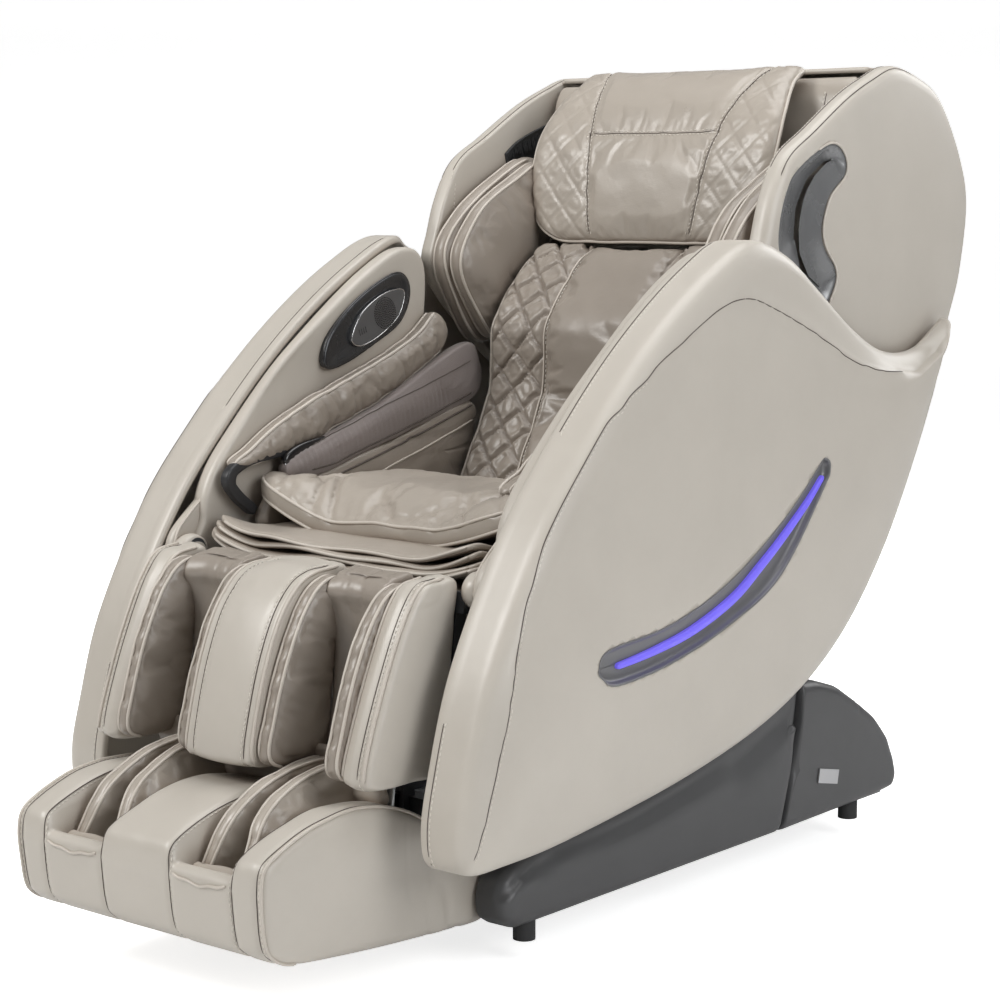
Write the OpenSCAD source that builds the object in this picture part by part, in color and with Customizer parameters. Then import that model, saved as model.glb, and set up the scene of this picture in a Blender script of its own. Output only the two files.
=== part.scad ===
// Reclining massage chair: base, sliding carriage, tilting seat, reclining back, leg rest, foot rest.
// X is to the sitter's left, the sitter faces -Y, Z is up. The origin is the centre of the
// footprint on the floor. Side outlines are lists of [y, z].

/* [Widths] */
// Half width over the two side panels
panel_x = 385; // [382:1:390]
// Half width over the base covers
base_x = 286; // [284:1:287]
// Half width of the back pad
back_x = 198; // [180:1:198]
// Half width of the seat layers
seat_x = 210; // [190:1:212]
// Half width of the calf cushions
calf_x = 250; // [246:1:250]
// Half width of the foot cushions
foot_x = 226; // [222:1:228]

/* [Pivots] */
// Lean of the back from the vertical, in degrees
back_lean = 30; // [30:1:30]
// Lean of the leg rest from the vertical, in degrees
leg_lean = 7; // [7:1:7]
// Radius of the recline hinge pins
recline_pin_r = 10; // [8:0.5:11]
// Radius of the leg rest hinge pins
leg_pin_r = 7; // [5:0.5:8]
// Radius of the tilt hinge pins
tilt_pin_r = 8; // [6:0.5:9]
// Radial clearance of every running fit
run_gap = 0.05; // [0.02:0.01:0.09]

/* [Skins] */
// Wall of the plastic covers
cover_t = 4; // [3:0.5:5]
// Radius of the massage rollers
roller_r = 22; // [18:1:23]
// Radius of the transport wheels
wheel_r = 30; // [26:1:31]

/* [Hidden] */
$fn = 48;

leather = "#b9b1a6";
charcoal = "#4b4b4d";
steel = "#33363a";
zinc = "#a9adb0";
grip = "#232325";

tilt_at = [212, 260];
recline_at = [160, 420];
leg_at = [-390, 478];
base_frame_z = [28, 58];
cover_w = 52;
panel_wall_x = 342;
wing_rim_x = [290, 318];

// ---- placing and outline helpers ----

// A side outline extruded from x0 to x1
module side(x0, x1) {
    translate([x0, 0, 0]) rotate([90, 0, 90]) linear_extrude(x1 - x0) children();
}

// A rod along X from x0 to x1 through a point [y, z]
module rod_x(x0, x1, at, r) {
    translate([x0, at[0], at[1]]) rotate([0, 90, 0]) cylinder(h = x1 - x0, r = r);
}

module both() {
    children();
    mirror([1, 0, 0]) children();
}

// Frame whose Z runs up the back from the recline pivot
module on_back() {
    translate([0, recline_at[0], recline_at[1]]) rotate([-back_lean, 0, 0]) children();
}

// Frame whose -Z runs down the leg rest from its pivot
module on_leg() {
    translate([0, leg_at[0], leg_at[1]]) rotate([-leg_lean, 0, 0]) children();
}

// Round-ended bar outline of a given length and height
module capsule(length, height) {
    flat = length - height;
    square([flat, height], center = true);
    translate([-flat / 2, 0]) circle(d = height);
    translate([flat / 2, 0]) circle(d = height);
}

function unit(v) = v / norm(v);
function right_of(v) = [v[1], -v[0]];

// A clockwise outline moved inwards by d (outwards when d is negative)
function shrunk(p, d) = [
    for (i = [0:len(p) - 1])
        let (n = len(p),
             a = right_of(unit(p[i] - p[(i + n - 1) % n])),
             b = right_of(unit(p[(i + 1) % n] - p[i])))
        p[i] + d * (a + b) / (1 + a * b)
];

function clamp01(s) = min(1, max(0, s));
function nearest(p, s) = let (along = s[1] - s[0])
    s[0] + clamp01(((p - s[0]) * along) / pow(norm(along), 2)) * along;
function pulled(p, q, d) = p + min(0.9, d / norm(q - p)) * (q - p);
function flat2(p) = [p[0], p[1]];

function curve_at(a, b, c, d, t) =
    0.5 * (2 * b + (c - a) * t + (2 * a - 5 * b + 4 * c - d) * t * t + (3 * b - a - 3 * c + d) * t * t * t);

// Closed smooth curve through the points of p
function closed_curve(p, steps) = [
    for (i = [0:len(p) - 1], k = [0:steps - 1])
        let (n = len(p)) curve_at(p[(i + n - 1) % n], p[i], p[(i + 1) % n], p[(i + 2) % n], k / steps)
];

// Open smooth curve through the points of p
function open_curve(p, steps) = concat([
    for (i = [0:len(p) - 2], k = [0:steps - 1])
        let (n = len(p)) curve_at(p[max(0, i - 1)], p[i], p[i + 1], p[min(n - 1, i + 2)], k / steps)
], [p[len(p) - 1]]);

// A skin through rings of points, closed flat at both ends
module loft(rings) {
    n = len(rings[0]);
    m = len(rings);
    walls = [
        for (j = [0:m - 2], i = [0:n - 1])
            let (a = j * n + i, b = j * n + (i + 1) % n)
            each [[a, b, b + n], [a, b + n, a + n]]
    ];
    first = [for (i = [n - 1:-1:0]) i];
    last = [for (i = [0:n - 1]) (m - 1) * n + i];
    polyhedron([for (r = rings) each r], concat([first], walls, [last]));
}

// Ring of a lens: the outline drawn towards its spine, by distance or by fraction
function ring_by_distance(line, spine, x, d) = [
    for (p = line) let (r = pulled(flat2(p), nearest(flat2(p), spine), d))
        [x == undef ? p[2] : x, r[0], r[1]]
];
function ring_by_fraction(line, spine, x, t) = [
    for (p = line) let (q = nearest(flat2(p), spine), r = flat2(p) + t * (q - flat2(p))) [x, r[0], r[1]]
];

// ---- base ----

cover_line = [[-338, 24], [-364, 40], [-368, 68], [-358, 92], [-338, 106], [-286, 126], [-180, 136],
              [-78, 146], [40, 166], [166, 194], [297, 239], [332, 243], [330, 190], [306, 100], [281, 24]];
rear_line = [[284, 24], [309, 100], [333, 190], [335, 243], [380, 240], [440, 222], [498, 190],
             [550, 158], [591, 119], [612, 80], [620, 49], [612, 32], [564, 27]];
side_tube_x = 240;
side_tube_w = 36;
cross_w = 30;
wheel_at = [560, 33];
wheel_x = 186;
wheel_w = 28;
wheel_axle_r = 8;
power_x = 120;
power_w = 70;
rocker_at = [600, 88];
rocker_r = 8;
rocker_w = 20;
rail_x = 146;
rail_w = 40;

module base_frame() color(steel) {
    both() translate([side_tube_x, -325, base_frame_z[0]]) cube([side_tube_w, 905, 30]);
    for (y = [-245, 120, 500])
        translate([-side_tube_x - 1, y, base_frame_z[0]]) cube([2 * side_tube_x + 2, cross_w, 30]);
    both() difference() {
        translate([wheel_x - 9, 520, 22]) cube([6, 56, 36]);
        rod_x(wheel_x - 10, wheel_x - 2, wheel_at, wheel_axle_r + run_gap);
    }
}

module side_covers() color(charcoal) both() difference() {
    side(base_x - cover_w, base_x) polygon(cover_line);
    side(base_x - cover_w - 1, base_x - cover_t) polygon(shrunk(cover_line, cover_t));
    translate([base_x - cover_w - 1, -330, 10]) cube([cover_w + 1 - cover_t, 660, 52]);
}

module rear_cover() color(charcoal) difference() {
    side(-base_x, base_x) polygon(rear_line);
    side(-base_x + cover_t, base_x - cover_t) polygon(shrunk(rear_line, cover_t));
    translate([-base_x + cover_t, 289, 10]) cube([2 * (base_x - cover_t), 320, 40]);
    translate([power_x - 1, 580, 61]) cube([power_w + 2, 60, 43]);
    translate([-228, 270, 10]) cube([456, 70, 160]);
    translate([-base_x + cover_t, 270, 10]) cube([2 * (base_x - cover_t), 70, 52]);
}

module badge_plate() color("#c9c9c7")
    side(base_x + 0.1, base_x + 2) translate([406, 88]) rotate(-12) square([56, 22], center = true);

module foot_pads() color(grip)
    both() for (y = [-300, 505]) translate([262, y, 0]) cylinder(h = base_frame_z[0], r = 15);

module track_rails() color(zinc) both() difference() {
    translate([rail_x, -225, base_frame_z[1]]) cube([rail_w, 500, 26]);
    translate([rail_x + 8, -226, base_frame_z[1] + 10]) cube([rail_w - 16, 502, 20]);
}

// Two wheels on one through axle that turns in the frame's brackets
module transport_wheels() color(grip) {
    both() difference() {
        rod_x(wheel_x, wheel_x + wheel_w, wheel_at, wheel_r);
        rod_x(wheel_x + wheel_w - 5, wheel_x + wheel_w + 1, wheel_at, wheel_r - 8);
    }
    rod_x(-wheel_x - wheel_w + 1, wheel_x + wheel_w - 1, wheel_at, wheel_axle_r);
}

module power_panel() color(grip) difference() {
    translate([power_x, 576, 62]) cube([power_w, 26, 41]);
    rod_x(power_x + 9, power_x + 11 + rocker_w, rocker_at, rocker_r + 0.4);
    translate([power_x + 40, 590, 72]) cube([24, 20, 20]);
}

module power_switch() color("#b03030") {
    rod_x(power_x + 10, power_x + 10 + rocker_w, rocker_at, rocker_r);
    translate([power_x + 12, rocker_at[0] + 3, rocker_at[1] - 5]) cube([rocker_w - 4, 8, 10]);
}

// ---- carriage ----

module carriage_frame() color(steel) {
    both() translate([rail_x + 9, -180, 84]) cube([22, 440, 36]);
    for (y = [-180, 200]) translate([-rail_x - 10, y, 90]) cube([2 * rail_x + 20, cross_w, 27]);
    both() translate([rail_x, tilt_at[0] - 25, 90]) cube([16, 50, tilt_at[1] - 70]);
    both() rod_x(rail_x, rail_x + 44, tilt_at, tilt_pin_r);
    for (s = [-1, 1]) translate([tilt_x + s * 10.5 - 3, tilt_from[0] - 12, 90])
        cube([6, 24, tilt_from[1] - 78]);
    rod_x(tilt_x - 13, tilt_x + 13, tilt_from, eye_pin_r);
}

module slide_pads() color("#e8e6df") both() for (y = [-170, 60, 200])
    translate([rail_x + 9, y, base_frame_z[1] + 11]) cube([22, 50, 14.8]);

// ---- linear actuators: housing pinned at one end, rod sliding in it ----

actuator_rod_r = 8;
eye_pin_r = 5;
eye_w = 14;

module placed_actuator(x, from, to) {
    way = to - from;
    translate([x, from[0], from[1]]) rotate([atan2(way[1], way[0]), 0, 0]) children();
}

module along_y(y0, y1, r) {
    translate([0, y0, 0]) rotate([-90, 0, 0]) cylinder(h = y1 - y0, r = r);
}

module cross_pin(r, w) {
    rotate([0, 90, 0]) translate([0, 0, -w / 2]) cylinder(h = w, r = r);
}

// motor_side is 1 or -1: which side of the barrel the motor lies on
module actuator_housing(barrel, motor_side) color(grip) difference() {
    union() {
        cross_pin(12, eye_w);
        translate([-eye_w / 2, 4, -8]) cube([eye_w, 20, 16]);
        along_y(22, barrel, 15);
        translate([0, 26, motor_side * 24]) along_y(0, 60, 12);
        translate([-8, 28, motor_side * 12 - 8]) cube([16, 50, 16]);
    }
    cross_pin(eye_pin_r + run_gap, eye_w + 2);
    along_y(20, barrel + 1, actuator_rod_r + run_gap);
}

// slack is the open clearance between the rod's eye and the pin it drives
module actuator_rod(inner, length, slack) color(zinc) difference() {
    union() {
        along_y(inner, length - eye_pin_r - slack, actuator_rod_r);
        translate([0, length, 0]) cross_pin(eye_pin_r + slack + 6, 10);
    }
    translate([0, length, 0]) cross_pin(eye_pin_r + slack, 12);
}

tilt_from = [-180, 130];
tilt_to = [-200, 360];
recline_from = [-210, 330];
recline_to = [160, 320];
leg_from = [-195, 350];
leg_to = [-390, 393];
tilt_x = -60;
leg_x = 70;
recline_slack = 5;
leg_slack = 16.5;
tilt_slack = 2;

module tilt_actuator_housing() placed_actuator(tilt_x, tilt_from, tilt_to)
    actuator_housing(128, -1);
module tilt_actuator_rod() placed_actuator(tilt_x, tilt_from, tilt_to)
    actuator_rod(21, norm(tilt_to - tilt_from), tilt_slack);
module recline_actuator_housing() placed_actuator(0, recline_from, recline_to)
    actuator_housing(200, -1);
module recline_actuator_rod() placed_actuator(0, recline_from, recline_to)
    actuator_rod(80, norm(recline_to - recline_from), recline_slack);
module leg_actuator_housing() placed_actuator(leg_x, leg_from, leg_to)
    actuator_housing(130, 1);
module leg_actuator_rod() placed_actuator(leg_x, leg_from, leg_to)
    actuator_rod(22, norm(leg_to - leg_from), leg_slack);

// ---- seat ----

tube_x = 228;
tube_w = 34;
tube_z = [380, 410];
lug_t = 6;

// Two cheeks and a pin that hold an actuator's eye
module clevis(x, at, top, half) {
    low = min(top, at[1]) - (top < at[1] ? 0 : 12);
    for (s = [-1, 1]) translate([x + s * (half + lug_t / 2) - lug_t / 2, at[0] - 12, low])
        cube([lug_t, 24, abs(top - at[1]) + 12]);
    rod_x(x - half - lug_t, x + half + lug_t, at, eye_pin_r);
}

module seat_frame() color(steel) difference() {
    union() {
        both() translate([tube_x, -372, tube_z[0]]) cube([tube_w, 572, 30]);
        for (y = [-240, 40]) translate([-tube_x - 1, y, tube_z[0]]) cube([2 * tube_x + 2, 60, 28]);
        translate([-tube_x - 1, 192, tube_z[0]]) cube([2 * tube_x + 2, 40, 26]);
        both() translate([rail_x + 24, 192, tilt_at[1] - 18]) cube([16, 40, 145]);
        both() rod_x(tube_x, tube_x + 12, recline_at, 24);
        both() translate([tube_x, recline_at[0] - 24, 400]) cube([12, 48, 20]);
        both() rod_x(262, 272, leg_at, 18);
        both() side(260, 272)
            polygon([[-407, 474], [-374, 486], [-330, 409], [-330, 381], [-371, 381], [-371, 420]]);
        clevis(tilt_x, tilt_to, tube_z[0], 8.5);
        clevis(0, recline_from, tube_z[0], 7.5);
        clevis(leg_x, leg_from, tube_z[0], 7.5);
        both() for (y = [-300, -120, 60]) translate([tube_x + 20, y, 384])
            cube([panel_wall_x - 0.2 - tube_x - 20, 24, 6]);
    }
    both() rod_x(rail_x + 20, rail_x + 46, tilt_at, tilt_pin_r + run_gap);
    both() rod_x(tube_x - 1, tube_x + 13, recline_at, recline_pin_r);
    both() rod_x(259, 273, leg_at, leg_pin_r);
    translate([leg_x - 17, -241, tube_z[0] - 1]) cube([34, 20, 11]);
}

// The pins that the back and the leg rest turn on
module hinge_pins() color(zinc) both() {
    rod_x(back_x - 2, tube_x + 12, recline_at, recline_pin_r);
    rod_x(calf_x + 1.5, 272, leg_at, leg_pin_r);
}

// [y, z, inner edge x]: a leaf with its tip forward and its peak beside the shoulder
panel_points = [[-522, 150, 290], [-538, 188, 290], [-528, 255, 290], [-483, 390, 290], [-392, 543, 290],
                [-300, 648, 290], [-206, 738, 290], [-110, 812, 290], [-15, 870, 290], [72, 906, 298],
                [150, 890, 341], [221, 848, 341], [330, 780, 341], [425, 741, 341], [520, 736, 341],
                [600, 770, 341], [622, 778, 341], [596, 712, 341], [520, 569, 341], [423, 427, 341],
                [305, 314, 341], [150, 236, 341], [-60, 186, 300], [-324, 152, 290], [-460, 145, 290]];
panel_spine = [[-430, 262], [552, 728]];
panel_curve = closed_curve(panel_points, 3);
panel_rings = [
    ring_by_distance(panel_curve, panel_spine, panel_wall_x, 16),
    ring_by_distance(panel_curve, panel_spine, undef, 13),
    ring_by_distance(panel_curve, panel_spine, undef, 3),
    ring_by_distance(panel_curve, panel_spine, panel_x - 35, 0),
    ring_by_distance(panel_curve, panel_spine, panel_x - 25, 1),
    ring_by_distance(panel_curve, panel_spine, panel_x - 18, 5),
    ring_by_fraction(panel_curve, panel_spine, panel_x - 12, 0.12),
    ring_by_fraction(panel_curve, panel_spine, panel_x - 7, 0.28),
    ring_by_fraction(panel_curve, panel_spine, panel_x - 2.5, 0.48),
    ring_by_fraction(panel_curve, panel_spine, panel_x, 0.68)
];

// Light crescent on the panel: two curves, and the strip between them
crescent_top = open_curve([[-300, 384], [-276, 397], [-145, 411], [-7, 453], [127, 527], [222, 600]], 4);
crescent_low = open_curve([[-296, 362], [-264, 347], [-145, 358], [-5, 392], [117, 445], [238, 574]], 4);
function crescent(k0, k1, first, last) = concat(
    [for (i = [first:last]) crescent_top[i] + k0 * (crescent_low[i] - crescent_top[i])],
    [for (i = [last:-1:first]) crescent_top[i] + k1 * (crescent_low[i] - crescent_top[i])]
);
bezel_t = 3;
bezel_line = crescent(0, 1, 0, 20);
strip_line = crescent(0.34, 0.62, 3, 19);

module side_panels() color(leather) both() loft(panel_rings);

module light_bezels() color("#6d6e70") both() difference() {
    side(panel_x + 0.2, panel_x + bezel_t) polygon(bezel_line);
    side(panel_x + 1, panel_x + bezel_t + 1) polygon(shrunk(strip_line, -0.4));
}

module light_strips() color("#8f8ae6") both()
    side(panel_x + 1.2, panel_x + bezel_t - 0.4) polygon(strip_line);

arm_line = [[-338, 446], [-345, 540], [-300, 612], [-206, 700], [-98, 780], [-20, 832], [50, 856],
            [68, 800], [62, 446]];
arm_x = [266, 288];
arm_pad_line = [[-322, 586], [-300, 625], [-180, 690], [20, 780], [78, 800], [92, 752], [20, 690],
                [-187, 605], [-258, 596], [-298, 572]];
forearm_line = [[-290, 500], [-250, 535], [-187, 552], [-90, 590], [20, 640], [80, 700], [88, 600],
                [60, 506]];
speaker_mid = [2, 796];
speaker_tilt = 33;
speaker_line = closed_curve([[-127, 724], [-116, 760], [-74, 800], [-16, 834], [38, 852], [62, 836],
                             [61, 806], [38, 774], [-16, 747], [-70, 724], [-112, 714]], 2);
pod_mid = [-177, 598];
pod_tilt = 8;
pod_x = [-239.5, -227.5];
button_r = 7;
button_step = 30;

module arm_rests() color(leather) both() side(arm_x[0], arm_x[1]) polygon(arm_line);

module arm_pads() color(leather) both() side(240, 257) polygon(arm_pad_line);

module forearm_airbags() color("#8d8580") both() side(216, 237) polygon(forearm_line);

module speakers() color(grip) both() difference() {
    side(258, arm_x[0] - 0.3) polygon(speaker_line);
    for (k = [0:4]) rod_x(250, 262, speaker_mid + (k - 2) * 14 * [cos(speaker_tilt), sin(speaker_tilt)], 5);
}

function button_at(k) = pod_mid + k * button_step * [cos(pod_tilt), sin(pod_tilt)];

module control_pod() color(grip) difference() {
    side(pod_x[0], pod_x[1]) translate(pod_mid) rotate(pod_tilt) capsule(125, 36);
    for (k = [-0.5, 0.5]) rod_x(pod_x[1] - 5, pod_x[1] + 1, button_at(k), button_r + run_gap);
}

module control_button(k) color(zinc) rod_x(pod_x[1] - 2.9, pod_x[1] + 2.1, button_at(k), button_r);
module control_button_a() control_button(-0.5);
module control_button_b() control_button(0.5);

// Plywood floor with a slot over the leg rest's actuator
module seat_pan() color(grip) difference() {
    translate([-205, -345, 411]) cube([410, 440, 12]);
    translate([leg_x - 19, -346, 410]) cube([38, 66, 14]);
}

module seat_airbags() color("#b0a89e") {
    side(-seat_x, seat_x) polygon([[-346, 426], [-356, 440], [-352, 466], [96, 462], [92, 426]]);
    for (k = [0:2]) side(-seat_x, seat_x)
        polygon([[-376, 468 + 10 * k], [-378, 472 + 10 * k], [-374, 476 + 10 * k],
                 [96 + 3 * k, 476 + 10 * k], [94 + 3 * k, 468 + 10 * k]]);
}

module seat_pad() color(leather)
    side(-seat_x, seat_x) polygon([[-268, 500], [-284, 512], [-276, 534], [-240, 554], [-180, 558],
                                   [-60, 546], [40, 538], [92, 534], [96, 500]]);

module air_pump() color("#2c2c30") {
    translate([-180, -130, 312]) cube([110, 120, 60]);
    for (y = [-100, -40]) translate([-125, y, 371]) cylinder(h = 8.9, r = 12);
}

module control_box() color("#3a3a3d") translate([70, -60, 322]) cube([130, 90, 57.9]);

// ---- back ----

back_tube_x = 196.5;
back_tube_w = 24;
guide_x = 110;
guide_y = 30;
guide_r = 8;
screw_r = 9;
journal_r = 6;
low_bar = [66, 88];
rail_foot = 68;
rail_h = 584;
high_bar = [640, 664];
arm_shaft_r = 8;
carriage_z = 125;
roller_pin_r = 4;
roller_reach = 45;
roller_y = -25;

module back_frame() color(steel) {
    on_back() difference() {
        union() {
            both() translate([back_tube_x, -15, -10]) cube([back_tube_w, 30, 700]);
            both() rod_x(back_tube_x, back_tube_x + back_tube_w, [0, 0], 22);
            for (bar = [low_bar, high_bar])
                translate([-back_tube_x - 1, 4, bar[0]]) cube([2 * back_tube_x + 2, 44, bar[1] - bar[0]]);
            rod_x(-back_tube_x - 1, back_tube_x + 1, [0, 0], 16);
        }
        both() rod_x(back_x - 3, back_tube_x + back_tube_w + 1, [0, 0], recline_pin_r + run_gap);
        both() translate([guide_x, guide_y, rail_foot]) cylinder(h = rail_h, r = guide_r);
        translate([0, guide_y, rail_foot]) cylinder(h = rail_h, r = journal_r + run_gap);
    }
    for (s = [-1, 1]) side(s * 12 - 3, s * 12 + 3)
        polygon([[146, 420], [174, 420], [172, 312], [148, 312]]);
    rod_x(-15, 15, recline_to, eye_pin_r);
}

module massage_rails() color(zinc) on_back() both()
    translate([guide_x, guide_y, rail_foot + 0.2]) cylinder(h = rail_h - 0.4, r = guide_r);

module lead_screw() color(zinc) on_back() translate([0, guide_y, 0]) {
    translate([0, 0, low_bar[1] + 0.5]) cylinder(h = high_bar[0] - low_bar[1] - 1, r = screw_r);
    translate([0, 0, rail_foot + 1]) cylinder(h = rail_h - 2, r = journal_r);
}

module massage_carriage() color("#55585c") on_back() difference() {
    union() {
        translate([-138, 14, carriage_z - 30]) cube([276, 34, 60]);
        both() for (x = [26, 98]) translate([x, -12, carriage_z - 14]) cube([8, 28, 28]);
        both() rod_x(30, 102, [0, carriage_z], arm_shaft_r);
    }
    both() translate([guide_x, guide_y, carriage_z - 31]) cylinder(h = 62, r = guide_r + run_gap);
    translate([0, guide_y, carriage_z - 31]) cylinder(h = 62, r = screw_r + run_gap);
}

module massage_motor() color("#2c2c30") on_back() {
    translate([-60, 48.2, carriage_z - 24]) cube([120, 40, 48]);
    rod_x(60, 100, [68, carriage_z], 18);
}

module massage_arm() color("#6a6d72") on_back() difference() {
    union() {
        rod_x(58, 72, [0, carriage_z], 13);
        side(58, 72) polygon([[-12, carriage_z - 8], [roller_y - 8, carriage_z - roller_reach],
                              [roller_y + 8, carriage_z - roller_reach - 6], [12, carriage_z - 8],
                              [12, carriage_z + 8], [roller_y + 8, carriage_z + roller_reach + 6],
                              [roller_y - 8, carriage_z + roller_reach], [-12, carriage_z + 8]]);
        rod_x(58, 96, [roller_y, carriage_z + roller_reach], roller_pin_r);
        rod_x(34, 72, [roller_y, carriage_z - roller_reach], roller_pin_r);
    }
    rod_x(57, 73, [0, carriage_z], arm_shaft_r + run_gap);
}
module massage_arm_left() massage_arm();
module massage_arm_right() mirror([1, 0, 0]) massage_arm();

// A roller on the high (s = 1) or low (s = -1) end of an arm
module massage_roller(s) color("#d8d2c4") on_back() difference() {
    x = s > 0 ? 74 : 36;
    at = [roller_y, carriage_z + s * roller_reach];
    rod_x(x, x + 20, at, roller_r);
    rod_x(x - 1, x + 21, at, roller_pin_r + run_gap);
}
module roller_left_high() massage_roller(1);
module roller_left_low() massage_roller(-1);
module roller_right_high() mirror([1, 0, 0]) massage_roller(1);
module roller_right_low() mirror([1, 0, 0]) massage_roller(-1);

shell_line = open_curve([[478, 1158], [552, 1152], [645, 1118], [712, 1036], [739, 960], [722, 870],
                         [685, 780], [630, 690], [562, 600], [490, 530], [400, 474], [300, 452]], 4);
shell_t = 8;

module rear_shell() color(leather) side(-288, 288)
    polygon(concat(shell_line, [for (i = [len(shell_line) - 1:-1:0]) let (
        a = shell_line[max(0, i - 1)], b = shell_line[min(len(shell_line) - 1, i + 1)])
        shell_line[i] + shell_t * right_of(unit(b - a))]));

wing_points = [[152, 862], [164, 910], [184, 966], [222, 1023], [290, 1062], [379, 1112], [450, 1142],
               [510, 1160], [580, 1148], [645, 1119], [712, 1036], [741, 955], [724, 850], [692, 778],
               [640, 690], [560, 640], [440, 640], [330, 690], [240, 760], [180, 815]];
wing_spine = [[270, 900], [600, 920]];
wing_curve = closed_curve([for (p = wing_points) [p[0], p[1], wing_rim_x[0]]], 3);
wing_rings = [
    ring_by_distance(wing_curve, wing_spine, wing_rim_x[0], 6),
    ring_by_distance(wing_curve, wing_spine, wing_rim_x[0] + 5, 0),
    ring_by_distance(wing_curve, wing_spine, wing_rim_x[1] - 12, 0),
    ring_by_distance(wing_curve, wing_spine, wing_rim_x[1] - 3, 3),
    ring_by_fraction(wing_curve, wing_spine, wing_rim_x[1] + 4, 0.12),
    ring_by_fraction(wing_curve, wing_spine, wing_rim_x[1] + 10, 0.34),
    ring_by_fraction(wing_curve, wing_spine, wing_rim_x[1] + 14, 0.62),
    ring_by_fraction(wing_curve, wing_spine, wing_rim_x[1] + 16, 0.86)
];
trim_line = closed_curve([[188, 884], [186, 905], [193, 940], [207, 972], [222, 994], [250, 1013],
                          [285, 1030], [312, 1041], [332, 1043], [350, 1034], [360, 1016], [357, 997],
                          [335, 982], [312, 966], [298, 943], [291, 915], [303, 889], [326, 868],
                          [333, 850], [322, 826], [298, 802], [250, 826], [205, 862]], 3);

module wings() color(leather) both() difference() {
    loft(wing_rings);
    side(300, 350) polygon(shrunk(trim_line, -0.6));
}

module wing_trims() color("#7b7c7e") both() side(300.4, 330) polygon(trim_line);

module vent_grilles() color(grip) both() difference() {
    side(283, 289.4)
        polygon([[340, 1032], [370, 1056], [470, 1090], [512, 1104], [520, 1084], [470, 1066], [372, 1032]]);
    for (k = [0:7]) side(282, 285)
        translate([372 + 17 * k, 1046 + 5.4 * k]) rotate(18) square([5, 18], center = true);
}

shoulder_line = closed_curve([[124, 764], [96, 850], [104, 902], [160, 960], [257, 1013], [332, 1030],
                              [378, 1010], [394, 960], [378, 915], [300, 820], [233, 752], [190, 740]], 2);

module shoulder_airbags() color(leather) both() {
    side(222, 248) polygon(shrunk(shoulder_line, 8));
    side(251, 280) polygon(shoulder_line);
}

module back_pad() color(leather) on_back() side(-back_x + 2, back_x - 2)
    polygon([[-84, 52], [-98, 66], [-101, 175], [-111, 240], [-138, 290], [-149, 318], [-145, 362],
             [-131, 422], [-110, 466], [-94, 478], [-58, 474], [-58, 60]]);

module upper_panel() color(leather) side(-280, 280)
    polygon([[405, 922], [414, 960], [421, 1010], [446, 1118], [462, 1144], [474, 1146], [468, 1120],
             [440, 1004], [427, 930], [424, 922]]);

pillow_rod_at = [452, 1150];

module pillow() color(leather) {
    side(-214, 214)
        polygon(closed_curve([[306, 900], [318, 985], [338, 1050], [376, 1106], [425, 1146], [450, 1155],
                              [438, 1126], [412, 1076], [386, 1005], [352, 908], [330, 890]], 2));
    rod_x(-206, 206, pillow_rod_at, 6);
}

// ---- leg rest and foot rest ----

slide_rod_x = 150;
slide_rod_r = 7;
leg_plate_y = [-23, -3];
leg_plate_t = leg_plate_y[1] - leg_plate_y[0];
calf_wall_x = [[64, 84], [180, 200]];
calf_middle_x = 62;
calf_outer_x = 202;
calf_middle_line = [[-597, 262], [-591, 300], [-570, 375], [-542, 437], [-510, 474], [-480, 488],
                    [-416, 488], [-424, 420], [-446, 250], [-580, 250]];
calf_outer_line = [[-584, 254], [-574, 294], [-546, 372], [-510, 446], [-480, 484], [-416, 488],
                   [-424, 420], [-446, 250], [-575, 246]];
calf_wall_line = [[-588, 262], [-578, 300], [-556, 372], [-526, 432], [-500, 464], [-470, 478],
                  [-452, 470], [-462, 400], [-482, 252]];
foot_line = [[-676, 50], [-722, 66], [-736, 90], [-742, 147], [-738, 176], [-720, 192], [-661, 214],
             [-600, 224], [-537, 219], [-482, 202], [-420, 168], [-340, 116], [-306, 86], [-300, 66],
             [-306, 46], [-346, 24], [-502, 33]];
foot_well_line = [[-705, 300], [-705, 150], [-690, 70], [-560, 62], [-484, 110], [-476, 300]];
foot_wall_line = [[-688, 116], [-664, 196], [-610, 232], [-540, 236], [-490, 200], [-488, 130], [-560, 112]];
foot_well_x = [66, 166];
foot_wall_x = [[68, 88], [144, 164]];
foot_roller_at = [-610, 92];
foot_shaft_r = 5;
foot_roller_r = 18;

module leg_frame() color(steel) on_leg() difference() {
    union() {
        both() rod_x(calf_x + 2, calf_x + 8, [0, 0], 16);
        both() translate([236, leg_plate_y[0], -34]) cube([calf_x - 228, leg_plate_t, 26]);
        both() translate([216, leg_plate_y[0], -210]) cube([30, leg_plate_t, 202]);
        for (z = [-50, -210]) translate([-217, leg_plate_y[0], z]) cube([434, leg_plate_t, 16]);
        both() translate([slide_rod_x - 12, leg_plate_y[0], -225]) cube([24, leg_plate_t, 205]);
        for (s = [-1, 1]) side(leg_x + s * 12 - 3, leg_x + s * 12 + 3)
            polygon([[-20, -50], [-20, -70], [4, -98], [20, -92], [20, -76], [-4, -40]]);
        rod_x(leg_x - 15, leg_x + 15, leg_pin_local, eye_pin_r);
    }
    both() rod_x(calf_x + 1, calf_x + 9, [0, 0], leg_pin_r + run_gap);
    both() translate([slide_rod_x, -13, -226]) cylinder(h = 207, r = slide_rod_r + run_gap);
    translate([leg_x - 6.5, -14, -51]) cube([13, 12, 13]);
}

// The actuator's lever pin, in the leg rest's own frame
leg_pin_local = let (d = leg_to - leg_at)
    [d[0] * cos(leg_lean) - d[1] * sin(leg_lean), d[0] * sin(leg_lean) + d[1] * cos(leg_lean)];

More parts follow.
